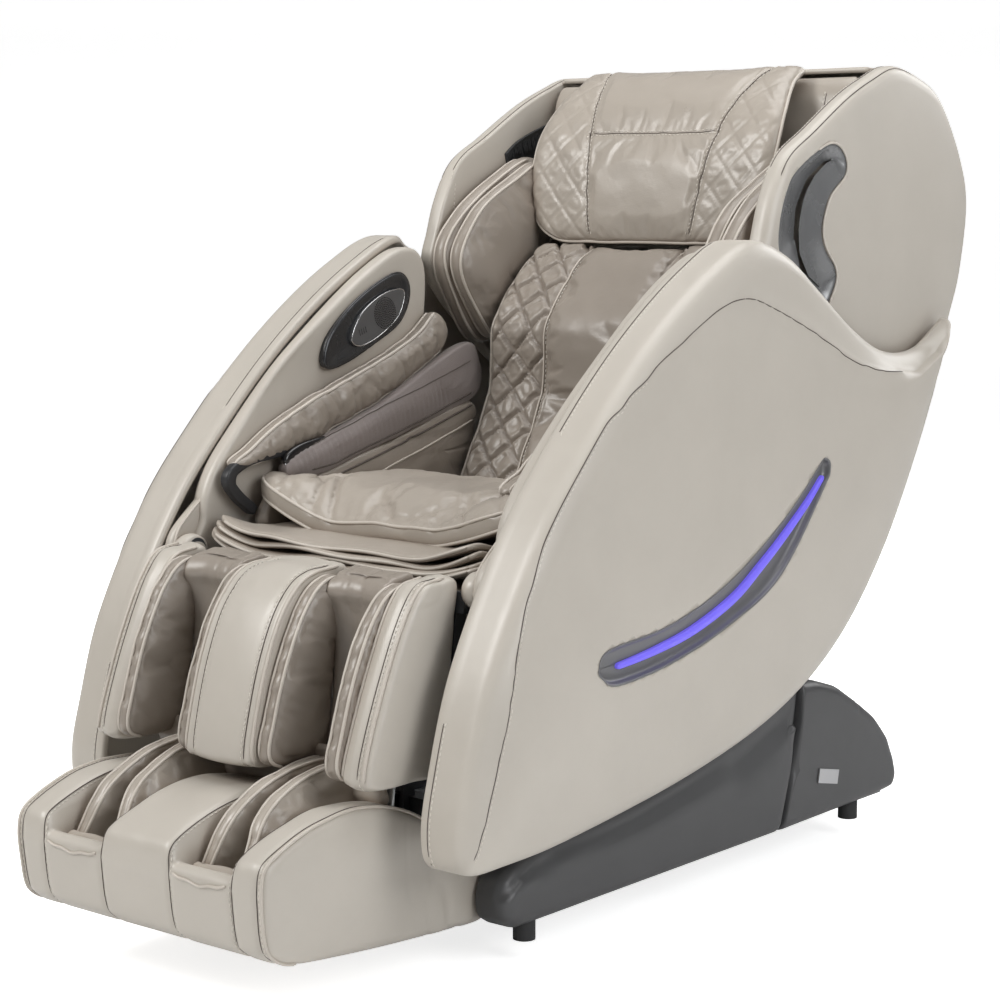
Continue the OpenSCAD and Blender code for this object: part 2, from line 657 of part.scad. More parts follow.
module calf_cushions() color(leather) {
    side(-calf_middle_x, calf_middle_x) polygon(calf_middle_line);
    both() side(calf_outer_x, calf_x) polygon(calf_outer_line);
}

module calf_airbags() color(leather) both() for (x = calf_wall_x) side(x[0], x[1]) polygon(calf_wall_line);

module foot_slide_rods() color(zinc) {
    on_leg() both() translate([slide_rod_x, -13, -330]) cylinder(h = 304, r = slide_rod_r);
    translate([-160, -460, 140]) cube([320, 32, 12]);
}

module foot_body() color(leather) difference() {
    side(-foot_x, foot_x) polygon(foot_line);
    both() side(foot_well_x[0], foot_well_x[1]) polygon(foot_well_line);
    translate([-166, -466, 138]) cube([332, 44, 130]);
    rod_x(-180, 180, foot_roller_at, foot_shaft_r + run_gap);
}

module foot_airbags() color(leather) both() for (x = foot_wall_x) side(x[0], x[1]) polygon(foot_wall_line);

module foot_rollers() color(grip) {
    both() rod_x(92, 140, foot_roller_at, foot_roller_r);
    rod_x(-179, 179, foot_roller_at, foot_shaft_r);
}

base_frame();
side_covers();
rear_cover();
badge_plate();
foot_pads();
track_rails();
transport_wheels();
power_panel();
power_switch();
carriage_frame();
slide_pads();
tilt_actuator_housing();
tilt_actuator_rod();
seat_frame();
hinge_pins();
side_panels();
light_bezels();
light_strips();
arm_rests();
arm_pads();
forearm_airbags();
speakers();
control_pod();
control_button_a();
control_button_b();
seat_pan();
seat_airbags();
seat_pad();
air_pump();
control_box();
recline_actuator_housing();
recline_actuator_rod();
leg_actuator_housing();
leg_actuator_rod();
back_frame();
massage_rails();
lead_screw();
massage_carriage();
massage_motor();
massage_arm_left();
massage_arm_right();
roller_left_high();
roller_left_low();
roller_right_high();
roller_right_low();
rear_shell();
wings();
wing_trims();
vent_grilles();
shoulder_airbags();
back_pad();
upper_panel();
pillow();
leg_frame();
calf_cushions();
calf_airbags();
foot_slide_rods();
foot_body();
foot_airbags();
foot_rollers();
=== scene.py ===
"""Looks of the massage chair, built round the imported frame. Lengths in the code are millimetres."""
import math

import bmesh
import bpy
import numpy as np
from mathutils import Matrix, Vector
from mathutils.bvhtree import BVHTree
from mathutils.kdtree import KDTree


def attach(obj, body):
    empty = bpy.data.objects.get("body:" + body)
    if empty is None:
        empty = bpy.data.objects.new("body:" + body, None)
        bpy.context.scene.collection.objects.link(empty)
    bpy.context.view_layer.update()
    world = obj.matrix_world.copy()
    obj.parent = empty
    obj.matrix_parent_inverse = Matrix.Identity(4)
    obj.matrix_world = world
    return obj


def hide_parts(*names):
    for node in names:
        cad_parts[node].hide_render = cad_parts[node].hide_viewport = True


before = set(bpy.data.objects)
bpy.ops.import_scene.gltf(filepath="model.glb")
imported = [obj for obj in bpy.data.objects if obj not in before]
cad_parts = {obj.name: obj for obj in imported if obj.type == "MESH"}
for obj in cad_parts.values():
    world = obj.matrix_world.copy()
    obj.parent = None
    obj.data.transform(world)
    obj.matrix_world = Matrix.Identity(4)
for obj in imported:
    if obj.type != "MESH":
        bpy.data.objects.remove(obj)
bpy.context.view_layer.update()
scene = bpy.context.scene
MM = 0.001
THREADS, PIPES, SEAM_SHADE_LINES = {}, {}, {}  # parts of stitching, piping and dark seam lines that paint the shade in the seams, by body
CLOTHS = []  # pads that wait for the cloth run
CLOTH_STIFFNESS = 12.0
CLOTH_BENDING = 0.4
HELD_REACH = 2.2  # points this near a seam are pinned to it in the cloth run
SLIT_SIDES = 24  # openings with up to this many edges are closed when a mesh is built

# ---------------------------------------------------------------- curves


def spline(points, per=8, closed=False):
    """Catmull-Rom curve through the points."""
    p = np.array(points, float)
    n = len(p)
    t = np.arange(per)[:, None] / per
    out = []
    for i in range(n if closed else n - 1):
        a = p[(i - 1) % n] if closed else p[max(0, i - 1)]
        b, c = p[i], p[(i + 1) % n]
        d = p[(i + 2) % n] if closed else p[min(n - 1, i + 2)]
        out.append(0.5 * (2 * b + (c - a) * t + (2 * a - 5 * b + 4 * c - d) * t**2
                          + (3 * b - a - 3 * c + d) * t**3))
    if not closed:
        out.append(p[-1:])
    return np.vstack(out)


def lengths(line):
    """Distance along a line at each of its points."""
    return np.r_[0, np.cumsum(np.linalg.norm(np.diff(line, axis=0), axis=1))]


def even(points, step, closed=False):
    """The same line with its points a step apart."""
    p = np.array(points, float)
    if closed:
        p = np.vstack([p, p[:1]])
    s = lengths(p)
    count = max(3, int(round(s[-1] / step)) + (0 if closed else 1))
    at = np.linspace(0, s[-1], count, endpoint=not closed)
    return np.column_stack([np.interp(at, s, p[:, k]) for k in range(p.shape[1])])


def curve(points, step=5.0, closed=False, per=8):
    """Points a step apart on the smooth curve through the given ones."""
    return even(spline(points, per, closed), step, closed)


def thinned(line, n):
    """n of a line's points, from its first to its last."""
    return line[np.linspace(0, len(line) - 1, n).astype(int)]


def flat_x(line, x):
    """A (y, z) line placed at x, which may be one number or one per point."""
    return np.column_stack([np.broadcast_to(x, len(line)), line[:, 0], line[:, 1]])


def smoothed(a, passes, closed=True):
    """A line smoothed over some passes; an open line is changed in place."""
    for _ in range(passes):
        if closed:
            a = (np.roll(a, 1, 0) + 2 * a + np.roll(a, -1, 0)) / 4
        else:
            a[1:-1] = (a[:-2] + 2 * a[1:-1] + a[2:]) / 4
    return a


def nearest(p, spine):
    """The nearest point on a spine to each of the points."""
    best = dist = None
    for a, b in zip(spine[:-1], spine[1:]):
        d = b - a
        q = a + np.clip(((p - a) @ d) / (d @ d), 0, 1)[:, None] * d
        e = np.linalg.norm(p - q, axis=1)
        if best is None:
            best, dist = q, e
        else:
            best = np.where((e < dist)[:, None], q, best)
            dist = np.minimum(e, dist)
    return best


def ease(t):
    t = np.clip(t, 0, 1)
    return t * t * (3 - 2 * t)


# ---------------------------------------------------------------- noise


def noise(p, scale, seed=0):
    """Smooth value noise from -1 to 1, the same on each run."""
    q = p / np.asarray(scale, float) + seed * 13.7
    i = np.floor(q).astype(np.int64)
    f = q - i
    f = f * f * (3 - 2 * f)
    out = np.zeros(len(p))
    for corner in np.ndindex(2, 2, 2):
        k = i + corner
        n = (k[:, 0] * 73856093) ^ (k[:, 1] * 19349663) ^ (k[:, 2] * 83492791)
        n = ((n ^ (n >> 13)) * 1274126177) & 0xFFFF
        w = np.prod(np.where(np.array(corner) == 1, f, 1 - f), axis=1)
        out += w * (n / 32767.5 - 1)
    return out


def creases(p, scale, seed=0):
    """Sharp valleys between soft rounds, from -1 in a valley to 0."""
    return -np.clip(1 - 5 * np.abs(noise(p, scale, seed)), 0, 1) ** 1.5


# ---------------------------------------------------------------- meshes


def shade_smooth(me):
    me.polygons.foreach_set("use_smooth", np.full(len(me.polygons), True))


def build(name, verts, faces, mat, body, stands=(), weld=0.03):
    """A smooth mesh that rides a body, in a finish, and stands for the named CAD nodes."""
    me = bpy.data.meshes.new(name)
    me.from_pydata((np.asarray(verts, float) * MM).tolist(), [], [list(map(int, f)) for f in faces])
    bm = bmesh.new()
    bm.from_mesh(me)
    bmesh.ops.remove_doubles(bm, verts=bm.verts, dist=weld * MM)
    bmesh.ops.holes_fill(bm, edges=bm.edges, sides=SLIT_SIDES)
    bmesh.ops.recalc_face_normals(bm, faces=bm.faces)
    bm.to_mesh(me)
    bm.free()
    shade_smooth(me)
    me.materials.append(mat)
    ob = bpy.data.objects.new(name, me)
    scene.collection.objects.link(ob)
    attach(ob, body)
    if stands:
        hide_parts(*stands)
    return ob


def vectors(items, field):
    a = np.empty(len(items) * 3, np.float32)
    items.foreach_get(field, a)
    return a.reshape(-1, 3).astype(float)


def co(ob):
    return vectors(ob.data.vertices, "co") / MM


def set_co(ob, c):
    ob.data.vertices.foreach_set("co", (c * MM).astype(np.float32).ravel())
    ob.data.update()


def normals(ob):
    return vectors(ob.data.vertex_normals, "vector")


def swell(ob, depth):
    """Moves the surface out along its normals by depth(points, normals)."""
    c, n = co(ob), normals(ob)
    set_co(ob, c + n * depth(c, n)[:, None])


def skin(ob, side=1):
    """Search tree of a piece's surface, mirrored for side -1."""
    return BVHTree.FromPolygons(mirrored(co(ob), side).tolist(),
                                [list(p.vertices) for p in ob.data.polygons])


def loft(rings, closed=True):
    """Quads between rings of equal length."""
    n = len(rings[0])
    i = np.arange(n if closed else n - 1)
    j = (i + 1) % n
    faces = [np.column_stack([k * n + i, k * n + j, (k + 1) * n + j,
                              (k + 1) * n + i]) for k in range(len(rings) - 1)]
    return np.vstack(rings), np.vstack(faces)


def lens(outline, spine, stations):
    """A padded body: rings at (x, d, t), drawn in by d, then by a share t of the way to the spine."""
    p = outline[:, :2]
    spine = np.array(spine, float)
    exact = nearest(p, spine)
    soft = smoothed(exact, 30)
    knots = even(spine, 7)
    shut = knots[np.argmin(np.linalg.norm(exact[:, None] - knots[None], axis=2), axis=1)]
    rings = []
    for x, d, t in stations:
        q = soft + (exact - soft) * max(0, (t - 0.9) / 0.1)
        to = q - p
        length = np.linalg.norm(to, axis=1, keepdims=True)
        way = to / np.maximum(length, 1e-6)
        s = np.clip(d, -99, 0.85 * length)
        r = p + way * (s + t * (length - s)) if t < 1 else shut
        rings.append(flat_x(r, x(outline) if callable(x) else x))
    return loft(rings)


def cushion_stations(x0, x1, edge, crown0=0.0, crown1=0.0, bulge=0.0, inner=7, around=5, across=6):
    """Stations of a cushion between x0 and x1 with rounded edges, crowned faces and a bulging side."""
    st = []
    for t in np.linspace(1, 0, inner, endpoint=False):
        st.append((x0 - crown0 * (1 - (1 - t) ** 2), edge, t))
    for a in np.linspace(0, math.pi / 2, around):
        st.append((x0 + edge * (1 - math.cos(a)), edge * (1 - math.sin(a)), 0))
    for u in np.linspace(0, 1, across + 1)[1:-1]:
        st.append((x0 + edge + u * (x1 - x0 - 2 * edge), -bulge * math.sin(math.pi * u), 0))
    for a in np.linspace(math.pi / 2, 0, around):
        st.append((x1 - edge * (1 - math.cos(a)), edge * (1 - math.sin(a)), 0))
    for t in np.linspace(0, 1, inner + 1)[1:]:
        st.append((x1 + crown1 * (1 - (1 - t) ** 2), edge, t))
    return st


def mirrored(v, side):
    v = np.array(v, float)
    v[:, 0] *= side
    return v


def tag(side):
    return "left" if side > 0 else "right"


def once(side, node):
    """The CAD node that a mirrored pair stands for; only the left piece claims it."""
    return (node,) if side > 0 else ()


def pad(name, side, outline, spine, stations, mat, body, node=None):
    """A lens-shaped piece of a mirrored pair, named after its side."""
    v, f = lens(outline, spine, stations)
    return build(f"{name}_{tag(side)}", mirrored(v, side), f, mat, body,
                 once(side, node) if node else ())


def add(store, body, verts, faces):
    store.setdefault(body, []).append((np.asarray(verts, float), np.asarray(faces)))


def tube(path, radius, closed=False, sides=8):
    """Verts and quads of a round cord along a path."""
    p = np.asarray(path, float)
    n = len(p)
    tan = np.roll(p, -1, 0) - np.roll(p, 1, 0) if closed else np.gradient(p, axis=0)
    tan /= np.maximum(np.linalg.norm(tan, axis=1, keepdims=True), 1e-9)
    u = np.zeros_like(p)
    ref = np.array([1.0, 0.13, 0.21])
    for i in range(n):
        ref = ref - tan[i] * (ref @ tan[i])
        ref /= max(np.linalg.norm(ref), 1e-9)
        u[i] = ref
    w = np.cross(tan, u)
    r = np.full(n, float(radius))
    if not closed:
        r[0] = r[-1] = 0.3 * radius
    rings = []
    for k in range(sides):
        a = 2 * math.pi * k / sides
        rings.append(p + r[:, None] * (u * math.cos(a) + w * math.sin(a)))
    v = np.stack(rings, 1).reshape(-1, 3)
    i = np.arange(n if closed else n - 1)
    faces = []
    for k in range(sides):
        m = (k + 1) % sides
        j = (i + 1) % n
        faces.append(np.column_stack([i * sides + k, i * sides + m, j * sides + m, j * sides + k]))
    return v, np.vstack(faces)


def snapped(path, tree, lift=0.0):
    """The path laid on a surface, with the surface's normals."""
    pts, nor = [], []
    for p in path:
        hit, n, _, _ = tree.find_nearest(Vector(p))
        pts.append(np.array(hit) + lift * np.array(n))
        nor.append(np.array(n))
    return np.array(pts), np.array(nor)


def distance_to(cloud):
    """A function that gives the distance from each of its points to the nearest of a cloud."""
    tree = KDTree(len(cloud))
    for i, p in enumerate(cloud):
        tree.insert(Vector(p), i)
    tree.balance()
    return lambda points: np.array([tree.find(Vector(p))[2] for p in points])


def dip(ob, paths, depth=1.2, width=4.0, reach=30):
    """Sinks the surface along seam paths."""
    c, n = co(ob), normals(ob)
    total = np.zeros(len(c))
    for path in paths:
        lo, hi = path.min(0) - reach, path.max(0) + reach
        near = np.where(np.all((c > lo) & (c < hi), axis=1))[0]
        if len(near):
            d = distance_to(even(path, 1.5))(c[near])
            total[near] = np.maximum(total[near], depth * np.exp(-((d / width) ** 2)))
    set_co(ob, c - n * total[:, None])


def stitches(path, tree, body, offset=3.2, length=4.8, gap=2.6, radius=0.72):
    """A row of thread dashes beside a path."""
    p = even(path, length + gap)
    if len(p) < 3:
        return
    tan = np.gradient(p, axis=0)
    tan /= np.linalg.norm(tan, axis=1, keepdims=True)
    base, nor = snapped(p, tree)
    side = np.cross(nor, tan)
    side /= np.maximum(np.linalg.norm(side, axis=1, keepdims=True), 1e-9)
    mid, nor = snapped(base + side * offset, tree, 0.12)
    for c, t, n in zip(mid, tan, nor):
        t = t - n * (t @ n)
        t /= max(np.linalg.norm(t), 1e-9)
        ends = [c - t * length / 2 - n * 0.5, c - t * length / 3 + n * 0.1, c + t * length / 3 + n * 0.1,
                c + t * length / 2 - n * 0.5]
        add(THREADS, body, *tube(ends, radius, sides=5))


def seam(ob, body, path, depth=1.4, width=4.0, rows=(3.2,), line=0.8):
    """A sewn seam: a dip in the leather, a dark tube in it that paints the shade of the groove, and rows of
    stitches beside it.
    """
    base, _ = snapped(path, skin(ob))
    dip(ob, [base], depth, width)
    tree = skin(ob)
    base, _ = snapped(path, tree, 0.05)
    base = smoothed(base, 3, closed=False)
    if line:
        # dark tube along the dip: painted shade in the seam
        add(SEAM_SHADE_LINES, body, *tube(base, line, sides=6))
    for offset in rows:
        stitches(base, tree, body, offset)
    return tree


def piping(path, body, radius=2.6, closed=False, smooth=4):
    p = smoothed(np.array(path, float), smooth, closed)
    add(PIPES, body, *tube(p, radius, closed))


def piped(path, tree, lift, body, radius=2.6, closed=False, smooth=4):
    """Piping laid on a surface."""
    piping(snapped(path, tree, lift)[0], body, radius, closed, smooth)


def merge(parts):
    verts, faces, base = [], [], 0
    for v, f in parts:
        verts.append(v)
        faces.append(f + base)
        base += len(v)
    return np.vstack(verts), np.vstack(faces)


# ---------------------------------------------------------------- cloth


def bake(ob):
    """Applies an object's modifiers."""
    bpy.context.view_layer.update()
    dg = bpy.context.evaluated_depsgraph_get()
    me = bpy.data.meshes.new_from_object(ob.evaluated_get(dg))
    mats = [s.material for s in ob.material_slots]
    ob.modifiers.clear()
    old = ob.data
    ob.data = me
    if not me.materials:
        for m in mats:
            me.materials.append(m)
    bpy.data.meshes.remove(old)
    shade_smooth(me)


def soften(ob, pinned, cap, after, pressure=4.0, slack=0.03, voxel=4.5):
    """Queues a pad for the cloth run. pinned is a test on its points; the rest may move by cap at most.
    A pad is remeshed evenly first, unless voxel is 0, and after(tree) sews it when the run is over."""
    if voxel:
        m = ob.modifiers.new("even", "REMESH")
        m.mode = "VOXEL"
        m.voxel_size = voxel * MM
        m.use_smooth_shade = True
        bake(ob)
    CLOTHS.append(dict(ob=ob, pinned=pinned, cap=cap, pressure=pressure, slack=slack, after=after))


def run_cloth(frames=18):
    """Inflates every queued pad in one run, then sews on the cords and stitches that lie on them."""
    live = CLOTHS
    for job in live:
        ob = job["ob"]
        job["rest"] = co(ob)
        group = ob.vertex_groups.new(name="held")
        group.add(np.where(job["pinned"](job["rest"]))[0].tolist(), 1.0, "REPLACE")
        m = ob.modifiers.new("cloth", "CLOTH")
        s = m.settings
        s.quality = 4
        s.mass = 0.25
        s.air_damping = 3
        s.tension_stiffness = s.compression_stiffness = s.shear_stiffness = CLOTH_STIFFNESS
        s.bending_stiffness = CLOTH_BENDING
        s.use_pressure = True
        s.uniform_pressure_force = job["pressure"]
        s.shrink_min = -job["slack"]
        s.vertex_group_mass = "held"
        s.effector_weights.gravity = 0
        m.collision_settings.use_collision = False
        m.point_cache.frame_end = frames
    if live:
        for f in range(1, frames + 1):
            scene.frame_set(f)
        dg = bpy.context.evaluated_depsgraph_get()
        for job in live:
            job["moved"] = vectors(job["ob"].evaluated_get(dg).data.vertices, "co") / MM
        for job in live:
            ob = job["ob"]
            ob.modifiers.clear()
            go = job["moved"] - job["rest"]
            size = np.linalg.norm(go, axis=1, keepdims=True)
            go *= np.minimum(1, job["cap"] / np.maximum(size, 1e-6))
            go[~np.isfinite(go).all(1)] = 0
            set_co(ob, job["rest"] + go)
        scene.frame_set(1)
    for job in CLOTHS:
        job["after"](skin(job["ob"]))

# ---------------------------------------------------------------- materials


def material(name, base, rough=0.5, metal=0.0, coat=0.0, sheen=0.0, vary=0.05, patch=9.0, bumps=(), edge=0.0,
             glow=0.0, hollow_shade=0.0):
    """A node material: colour and roughness variation, wear on edges, painted shade in hollows (ambient
    occlusion darkens the colour there) and stacked bumps.
    A bump is (kind, scale per metre, depth in mm, strength)."""
    m = bpy.data.materials.new(name)
    m.use_nodes = True
    nt = m.node_tree
    bsdf = nt.nodes["Principled BSDF"]

    def node(kind, **values):
        n = nt.nodes.new(kind)
        for k, v in values.items():
            if k in n.inputs:
                n.inputs[k].default_value = v
            else:
                setattr(n, k, v)
        return n

    def link(a, out, b, into):
        nt.links.new(a.outputs[out], b.inputs[into])

    def ranged(source, out, low=(0, 1), to=(0, 1)):
        n = node("ShaderNodeMapRange", **{"From Min": low[0], "From Max": low[1], "To Min": to[0],
                                          "To Max": to[1]})
        link(source, out, n, "Value")
        return n

    def mixed(colour, other, by):
        n = node("ShaderNodeMixRGB", blend_type="MIX", Color2=[*other, 1])
        link(colour, "Color", n, "Color1")
        link(by, "Result", n, "Fac")
        return n

    place = node("ShaderNodeTexCoord")
    clouds = node("ShaderNodeTexNoise", Scale=patch, Detail=5.0, Roughness=0.6)
    link(place, "Object", clouds, "Vector")
    colour = node("ShaderNodeValToRGB")
    for stop, position, share in zip(colour.color_ramp.elements, (0.3, 0.7), (1 - vary, 1 + vary)):
        stop.position = position
        stop.color = [min(1, c * share) for c in base] + [1]
    link(clouds, "Fac", colour, "Fac")
    if edge:
        worn = ranged(node("ShaderNodeNewGeometry"), "Pointiness", (0.5, 0.62), (0, edge))
        colour = mixed(colour, [min(1, c * 1.35 + 0.02) for c in base], worn)
    # painted shade: ambient occlusion darkens the colour in hollows and crevices, where shade falls
    if hollow_shade:
        shade = node("ShaderNodeAmbientOcclusion", samples=4, Distance=0.03)
        hollow = ranged(shade, "AO", (0.25, 0.85), (hollow_shade, 0))
        colour = mixed(colour, [base[0] * 0.62, base[1] * 0.52, base[2] * 0.45], hollow)
    link(colour, "Color", bsdf, "Base Color")
    rubbed = node("ShaderNodeTexNoise", Scale=patch * 4, Detail=4.0)
    link(place, "Object", rubbed, "Vector")
    gloss = ranged(rubbed, "Fac", to=(max(0.02, rough - 0.07), min(1, rough + 0.07)))
    link(gloss, "Result", bsdf, "Roughness")
    above = None
    for kind, scale, depth, strength in bumps:
        out = "Fac"
        if kind == "pebble":
            tex = node("ShaderNodeTexVoronoi", Scale=scale, feature="SMOOTH_F1", Smoothness=0.4)
            out = "Distance"
        elif kind == "weave":
            tex = node("ShaderNodeTexWave", Scale=scale, Distortion=0.3, bands_direction="DIAGONAL")
        elif kind == "rib":
            tex = node("ShaderNodeTexWave", Scale=scale, Distortion=0.0, bands_direction="Z")
        else:
            tex = node("ShaderNodeTexNoise", Scale=scale, Detail=6.0, Roughness=0.55)
        if kind == "brush":
            wide = node("ShaderNodeMapping", Scale=(0.04, 1, 1))
            link(place, "Object", wide, "Vector")
            link(wide, "Vector", tex, "Vector")
        else:
            link(place, "Object", tex, "Vector")
        bump = node("ShaderNodeBump", Strength=strength, Distance=depth * MM)
        link(tex, out, bump, "Height")
        if above:
            link(above, "Normal", bump, "Normal")
        above = bump
    if above:
        link(above, "Normal", bsdf, "Normal")
    looks = {"Metallic": metal, "Coat Weight": coat, "Coat Roughness": 0.25, "Sheen Weight": sheen,
             "Sheen Roughness": 0.4}
    if glow:
        looks.update({"Emission Color": [*base, 1], "Emission Strength": glow})
    for k, v in looks.items():
        bsdf.inputs[k].default_value = v
    return m


HIDE = (("noise", 45, 1.2, 0.12), ("pebble", 900, 0.25, 0.28), ("noise", 2400, 0.1, 0.15))
# The hollow amount in each finish below is painted shade that darkens its colour in hollows.
LEATHER = material("leather", (0.475, 0.44, 0.39), 0.36, sheen=0.04, vary=0.03, bumps=HIDE, edge=0.18,
                   hollow_shade=0.6)
# A darker copy of the leather: painted shade for the pads that sit in shade, with deeper wrinkle bumps of
# its own.
CRUSHED_PAINTED_SHADE = material("leather_crushed_painted_shade", (0.37, 0.33, 0.285), 0.31, sheen=0.04, vary=0.045, edge=0.25,
                   hollow_shade=0.65, bumps=(("noise", 38, 3.2, 0.22), *HIDE))
# A still darker copy of the leather: painted shade for the airbags and pads that sit deep in shade.
BAG_PAINTED_SHADE = material("leather_bag_painted_shade", (0.275, 0.24, 0.205), 0.34, sheen=0.04, vary=0.045, edge=0.3, hollow_shade=0.6,
               bumps=(("noise", 38, 3.2, 0.22), *HIDE))
CORD = material("piping_leather", (0.52, 0.475, 0.42), 0.38, sheen=0.05, vary=0.03, bumps=HIDE[1:],
                hollow_shade=0.35)
THREAD = material("thread", (0.66, 0.62, 0.56), 0.6, vary=0.06, patch=300, bumps=(("weave", 500, 0.2, 0.6),))
# dark finish of the tubes laid in seams: painted shadow in the grooves
PAINTED_SEAM_SHADE = material("seam_shadow", (0.085, 0.07, 0.06), 0.75, vary=0.1, patch=60,
                  bumps=(("noise", 900, 0.2, 0.4),))
CLOTH = material("airbag_cloth", (0.26, 0.225, 0.215), 0.48, sheen=0.25, vary=0.06, edge=0.2, hollow_shade=0.4,
                 bumps=(("noise", 30, 2.0, 0.2), ("weave", 1100, 0.25, 0.5)))
CHARCOAL = material("charcoal_plastic", (0.057, 0.057, 0.059), 0.42, vary=0.06, edge=0.25, coat=0.08,
                    bumps=(("pebble", 1300, 0.12, 0.35), ("noise", 14, 1.0, 0.05)))
GRIP = material("black_plastic", (0.018, 0.018, 0.02), 0.45, vary=0.12, edge=0.25,
                bumps=(("pebble", 1100, 0.12, 0.4),))
GLOSS = material("gloss_black", (0.008, 0.008, 0.01), 0.10, coat=0.7, vary=0.1,
                 bumps=(("noise", 22, 0.4, 0.04),))
METAL_GREY = material("speaker_shell", (0.05, 0.052, 0.056), 0.26, metal=0.55, vary=0.1, coat=0.3,
                      bumps=(("noise", 18, 0.6, 0.05),))
CHROME = material("bright_rim", (0.62, 0.62, 0.63), 0.16, metal=1.0, vary=0.05,
                  bumps=(("brush", 700, 0.05, 0.2),))
TRIM = material("satin_trim", (0.20, 0.202, 0.206), 0.26, metal=0.45, vary=0.05, coat=0.25, edge=0.15,
                bumps=(("noise", 12, 0.8, 0.05), ("pebble", 2000, 0.05, 0.2)))
BEZEL = material("satin_bezel", (0.145, 0.145, 0.15), 0.34, metal=0.2, vary=0.05, coat=0.1, edge=0.2,
                 bumps=(("pebble", 1600, 0.06, 0.25),))
LIGHT = material("light_strip", (0.13, 0.10, 0.62), 0.35, vary=0.08, patch=20, glow=0.62,
                 bumps=(("noise", 60, 0.3, 0.1),))
STEEL = material("painted_steel", (0.035, 0.037, 0.041), 0.42, metal=0.2, vary=0.12, edge=0.5,
                 bumps=(("noise", 420, 0.12, 0.35), ("noise", 30, 0.6, 0.1)))
ZINC = material("zinc_plate", (0.52, 0.53, 0.53), 0.30, metal=1.0, vary=0.1, patch=30, edge=0.2,
                bumps=(("brush", 600, 0.1, 0.3),))
RUBBER = material("rubber", (0.02, 0.02, 0.021), 0.75, vary=0.15, edge=0.3,
                  bumps=(("pebble", 700, 0.2, 0.5),))
NYLON = material("moulded_nylon", (0.70, 0.67, 0.60), 0.42, vary=0.04, edge=0.1,
                 bumps=(("noise", 260, 0.15, 0.25),))
MOTOR = material("motor_paint", (0.028, 0.028, 0.032), 0.36, metal=0.3, vary=0.12, edge=0.4,
                 bumps=(("noise", 500, 0.12, 0.35),))
BOARD = material("plywood", (0.38, 0.27, 0.17), 0.62, vary=0.2, patch=16, bumps=(("brush", 160, 0.5, 0.4),))
RED = material("red_switch", (0.40, 0.02, 0.02), 0.28, vary=0.08, coat=0.3,
               bumps=(("noise", 300, 0.08, 0.2),))
BADGE = material("blank_badge", (0.50, 0.50, 0.51), 0.33, metal=0.9, vary=0.04,
                 bumps=(("brush", 900, 0.06, 0.3),))
MESH = material("vent_mesh", (0.03, 0.032, 0.034), 0.5, vary=0.15, edge=0.3, bumps=(("rib", 160, 1.0, 0.9),))

CAD_FINISH = {
    STEEL: "base_frame carriage_frame seat_frame back_frame leg_frame",
    ZINC: "track_rails hinge_pins tilt_actuator_rod recline_actuator_rod leg_actuator_rod massage_rails "
          "lead_screw foot_slide_rods control_button_a control_button_b",
    NYLON: "slide_pads roller_left_high roller_left_low roller_right_high roller_right_low foot_rollers",
    MOTOR: "tilt_actuator_housing recline_actuator_housing leg_actuator_housing air_pump massage_carriage "
           "massage_motor massage_arm_left massage_arm_right",
    RUBBER: "foot_pads transport_wheels",
    GRIP: "power_panel control_box",
    BOARD: "seat_pan",
    RED: "power_switch",
    BADGE: "badge_plate",
}
for finish, names in CAD_FINISH.items():
    for name in names.split():
        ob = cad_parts[name]
        ob.data.materials.clear()
        ob.data.materials.append(finish)

# ---------------------------------------------------------------- side panels and light strips

PANEL = curve([[-522, 150, 290], [-538, 188, 290], [-528, 255, 290], [-483, 390, 290], [-392, 543, 290],
               [-300, 648, 290], [-206, 738, 290], [-110, 812, 290], [-15, 870, 290], [72, 906, 298],
               [150, 890, 341], [221, 848, 341], [330, 780, 341], [425, 741, 341], [520, 736, 341],
               [600, 770, 341], [622, 778, 341], [596, 712, 341], [520, 569, 341], [423, 427, 341],
               [305, 314, 341], [150, 236, 341], [-60, 186, 300], [-324, 152, 290], [-460, 145, 290]], 5.5,
              True)
PANEL_SPINE = [[-430, 262], [552, 728]]
PANEL_SEAM = [[-527, 172], [-479, 309], [-440, 442], [-400, 530], [-350, 600], [-302, 653], [-226, 711],
              [-150, 758], [-70, 798], [-15, 822], [40, 829], [96, 814], [199, 775], [296, 733], [366, 715],
              [410, 709], [446, 707]]
CRESCENT_TOP = [[-300, 384], [-276, 397], [-145, 411], [-7, 453], [127, 527], [222, 600]]
CRESCENT_LOW = [[-296, 362], [-264, 347], [-145, 358], [-5, 392], [117, 445], [238, 574]]
STRIP_LINE = [[-255, 370], [-210, 374], [-162, 380], [-103, 390], [-41, 407], [18, 429], [67, 457],
              [113, 485], [156, 514], [194, 541], [228, 571]]


def offset(line, d):
    """A (y, z) line moved sideways by d."""
    t = np.gradient(line, axis=0)
    t /= np.linalg.norm(t, axis=1, keepdims=True)
    return line + d * np.column_stack([t[:, 1], -t[:, 0]])


def from_inner(k, share=0.0, to=345.0):
    """A station k outside the outline's own inner x, or a share of the way on from there to x = to."""
    return lambda o: o[:, 2] + k + share * (to - k - o[:, 2])


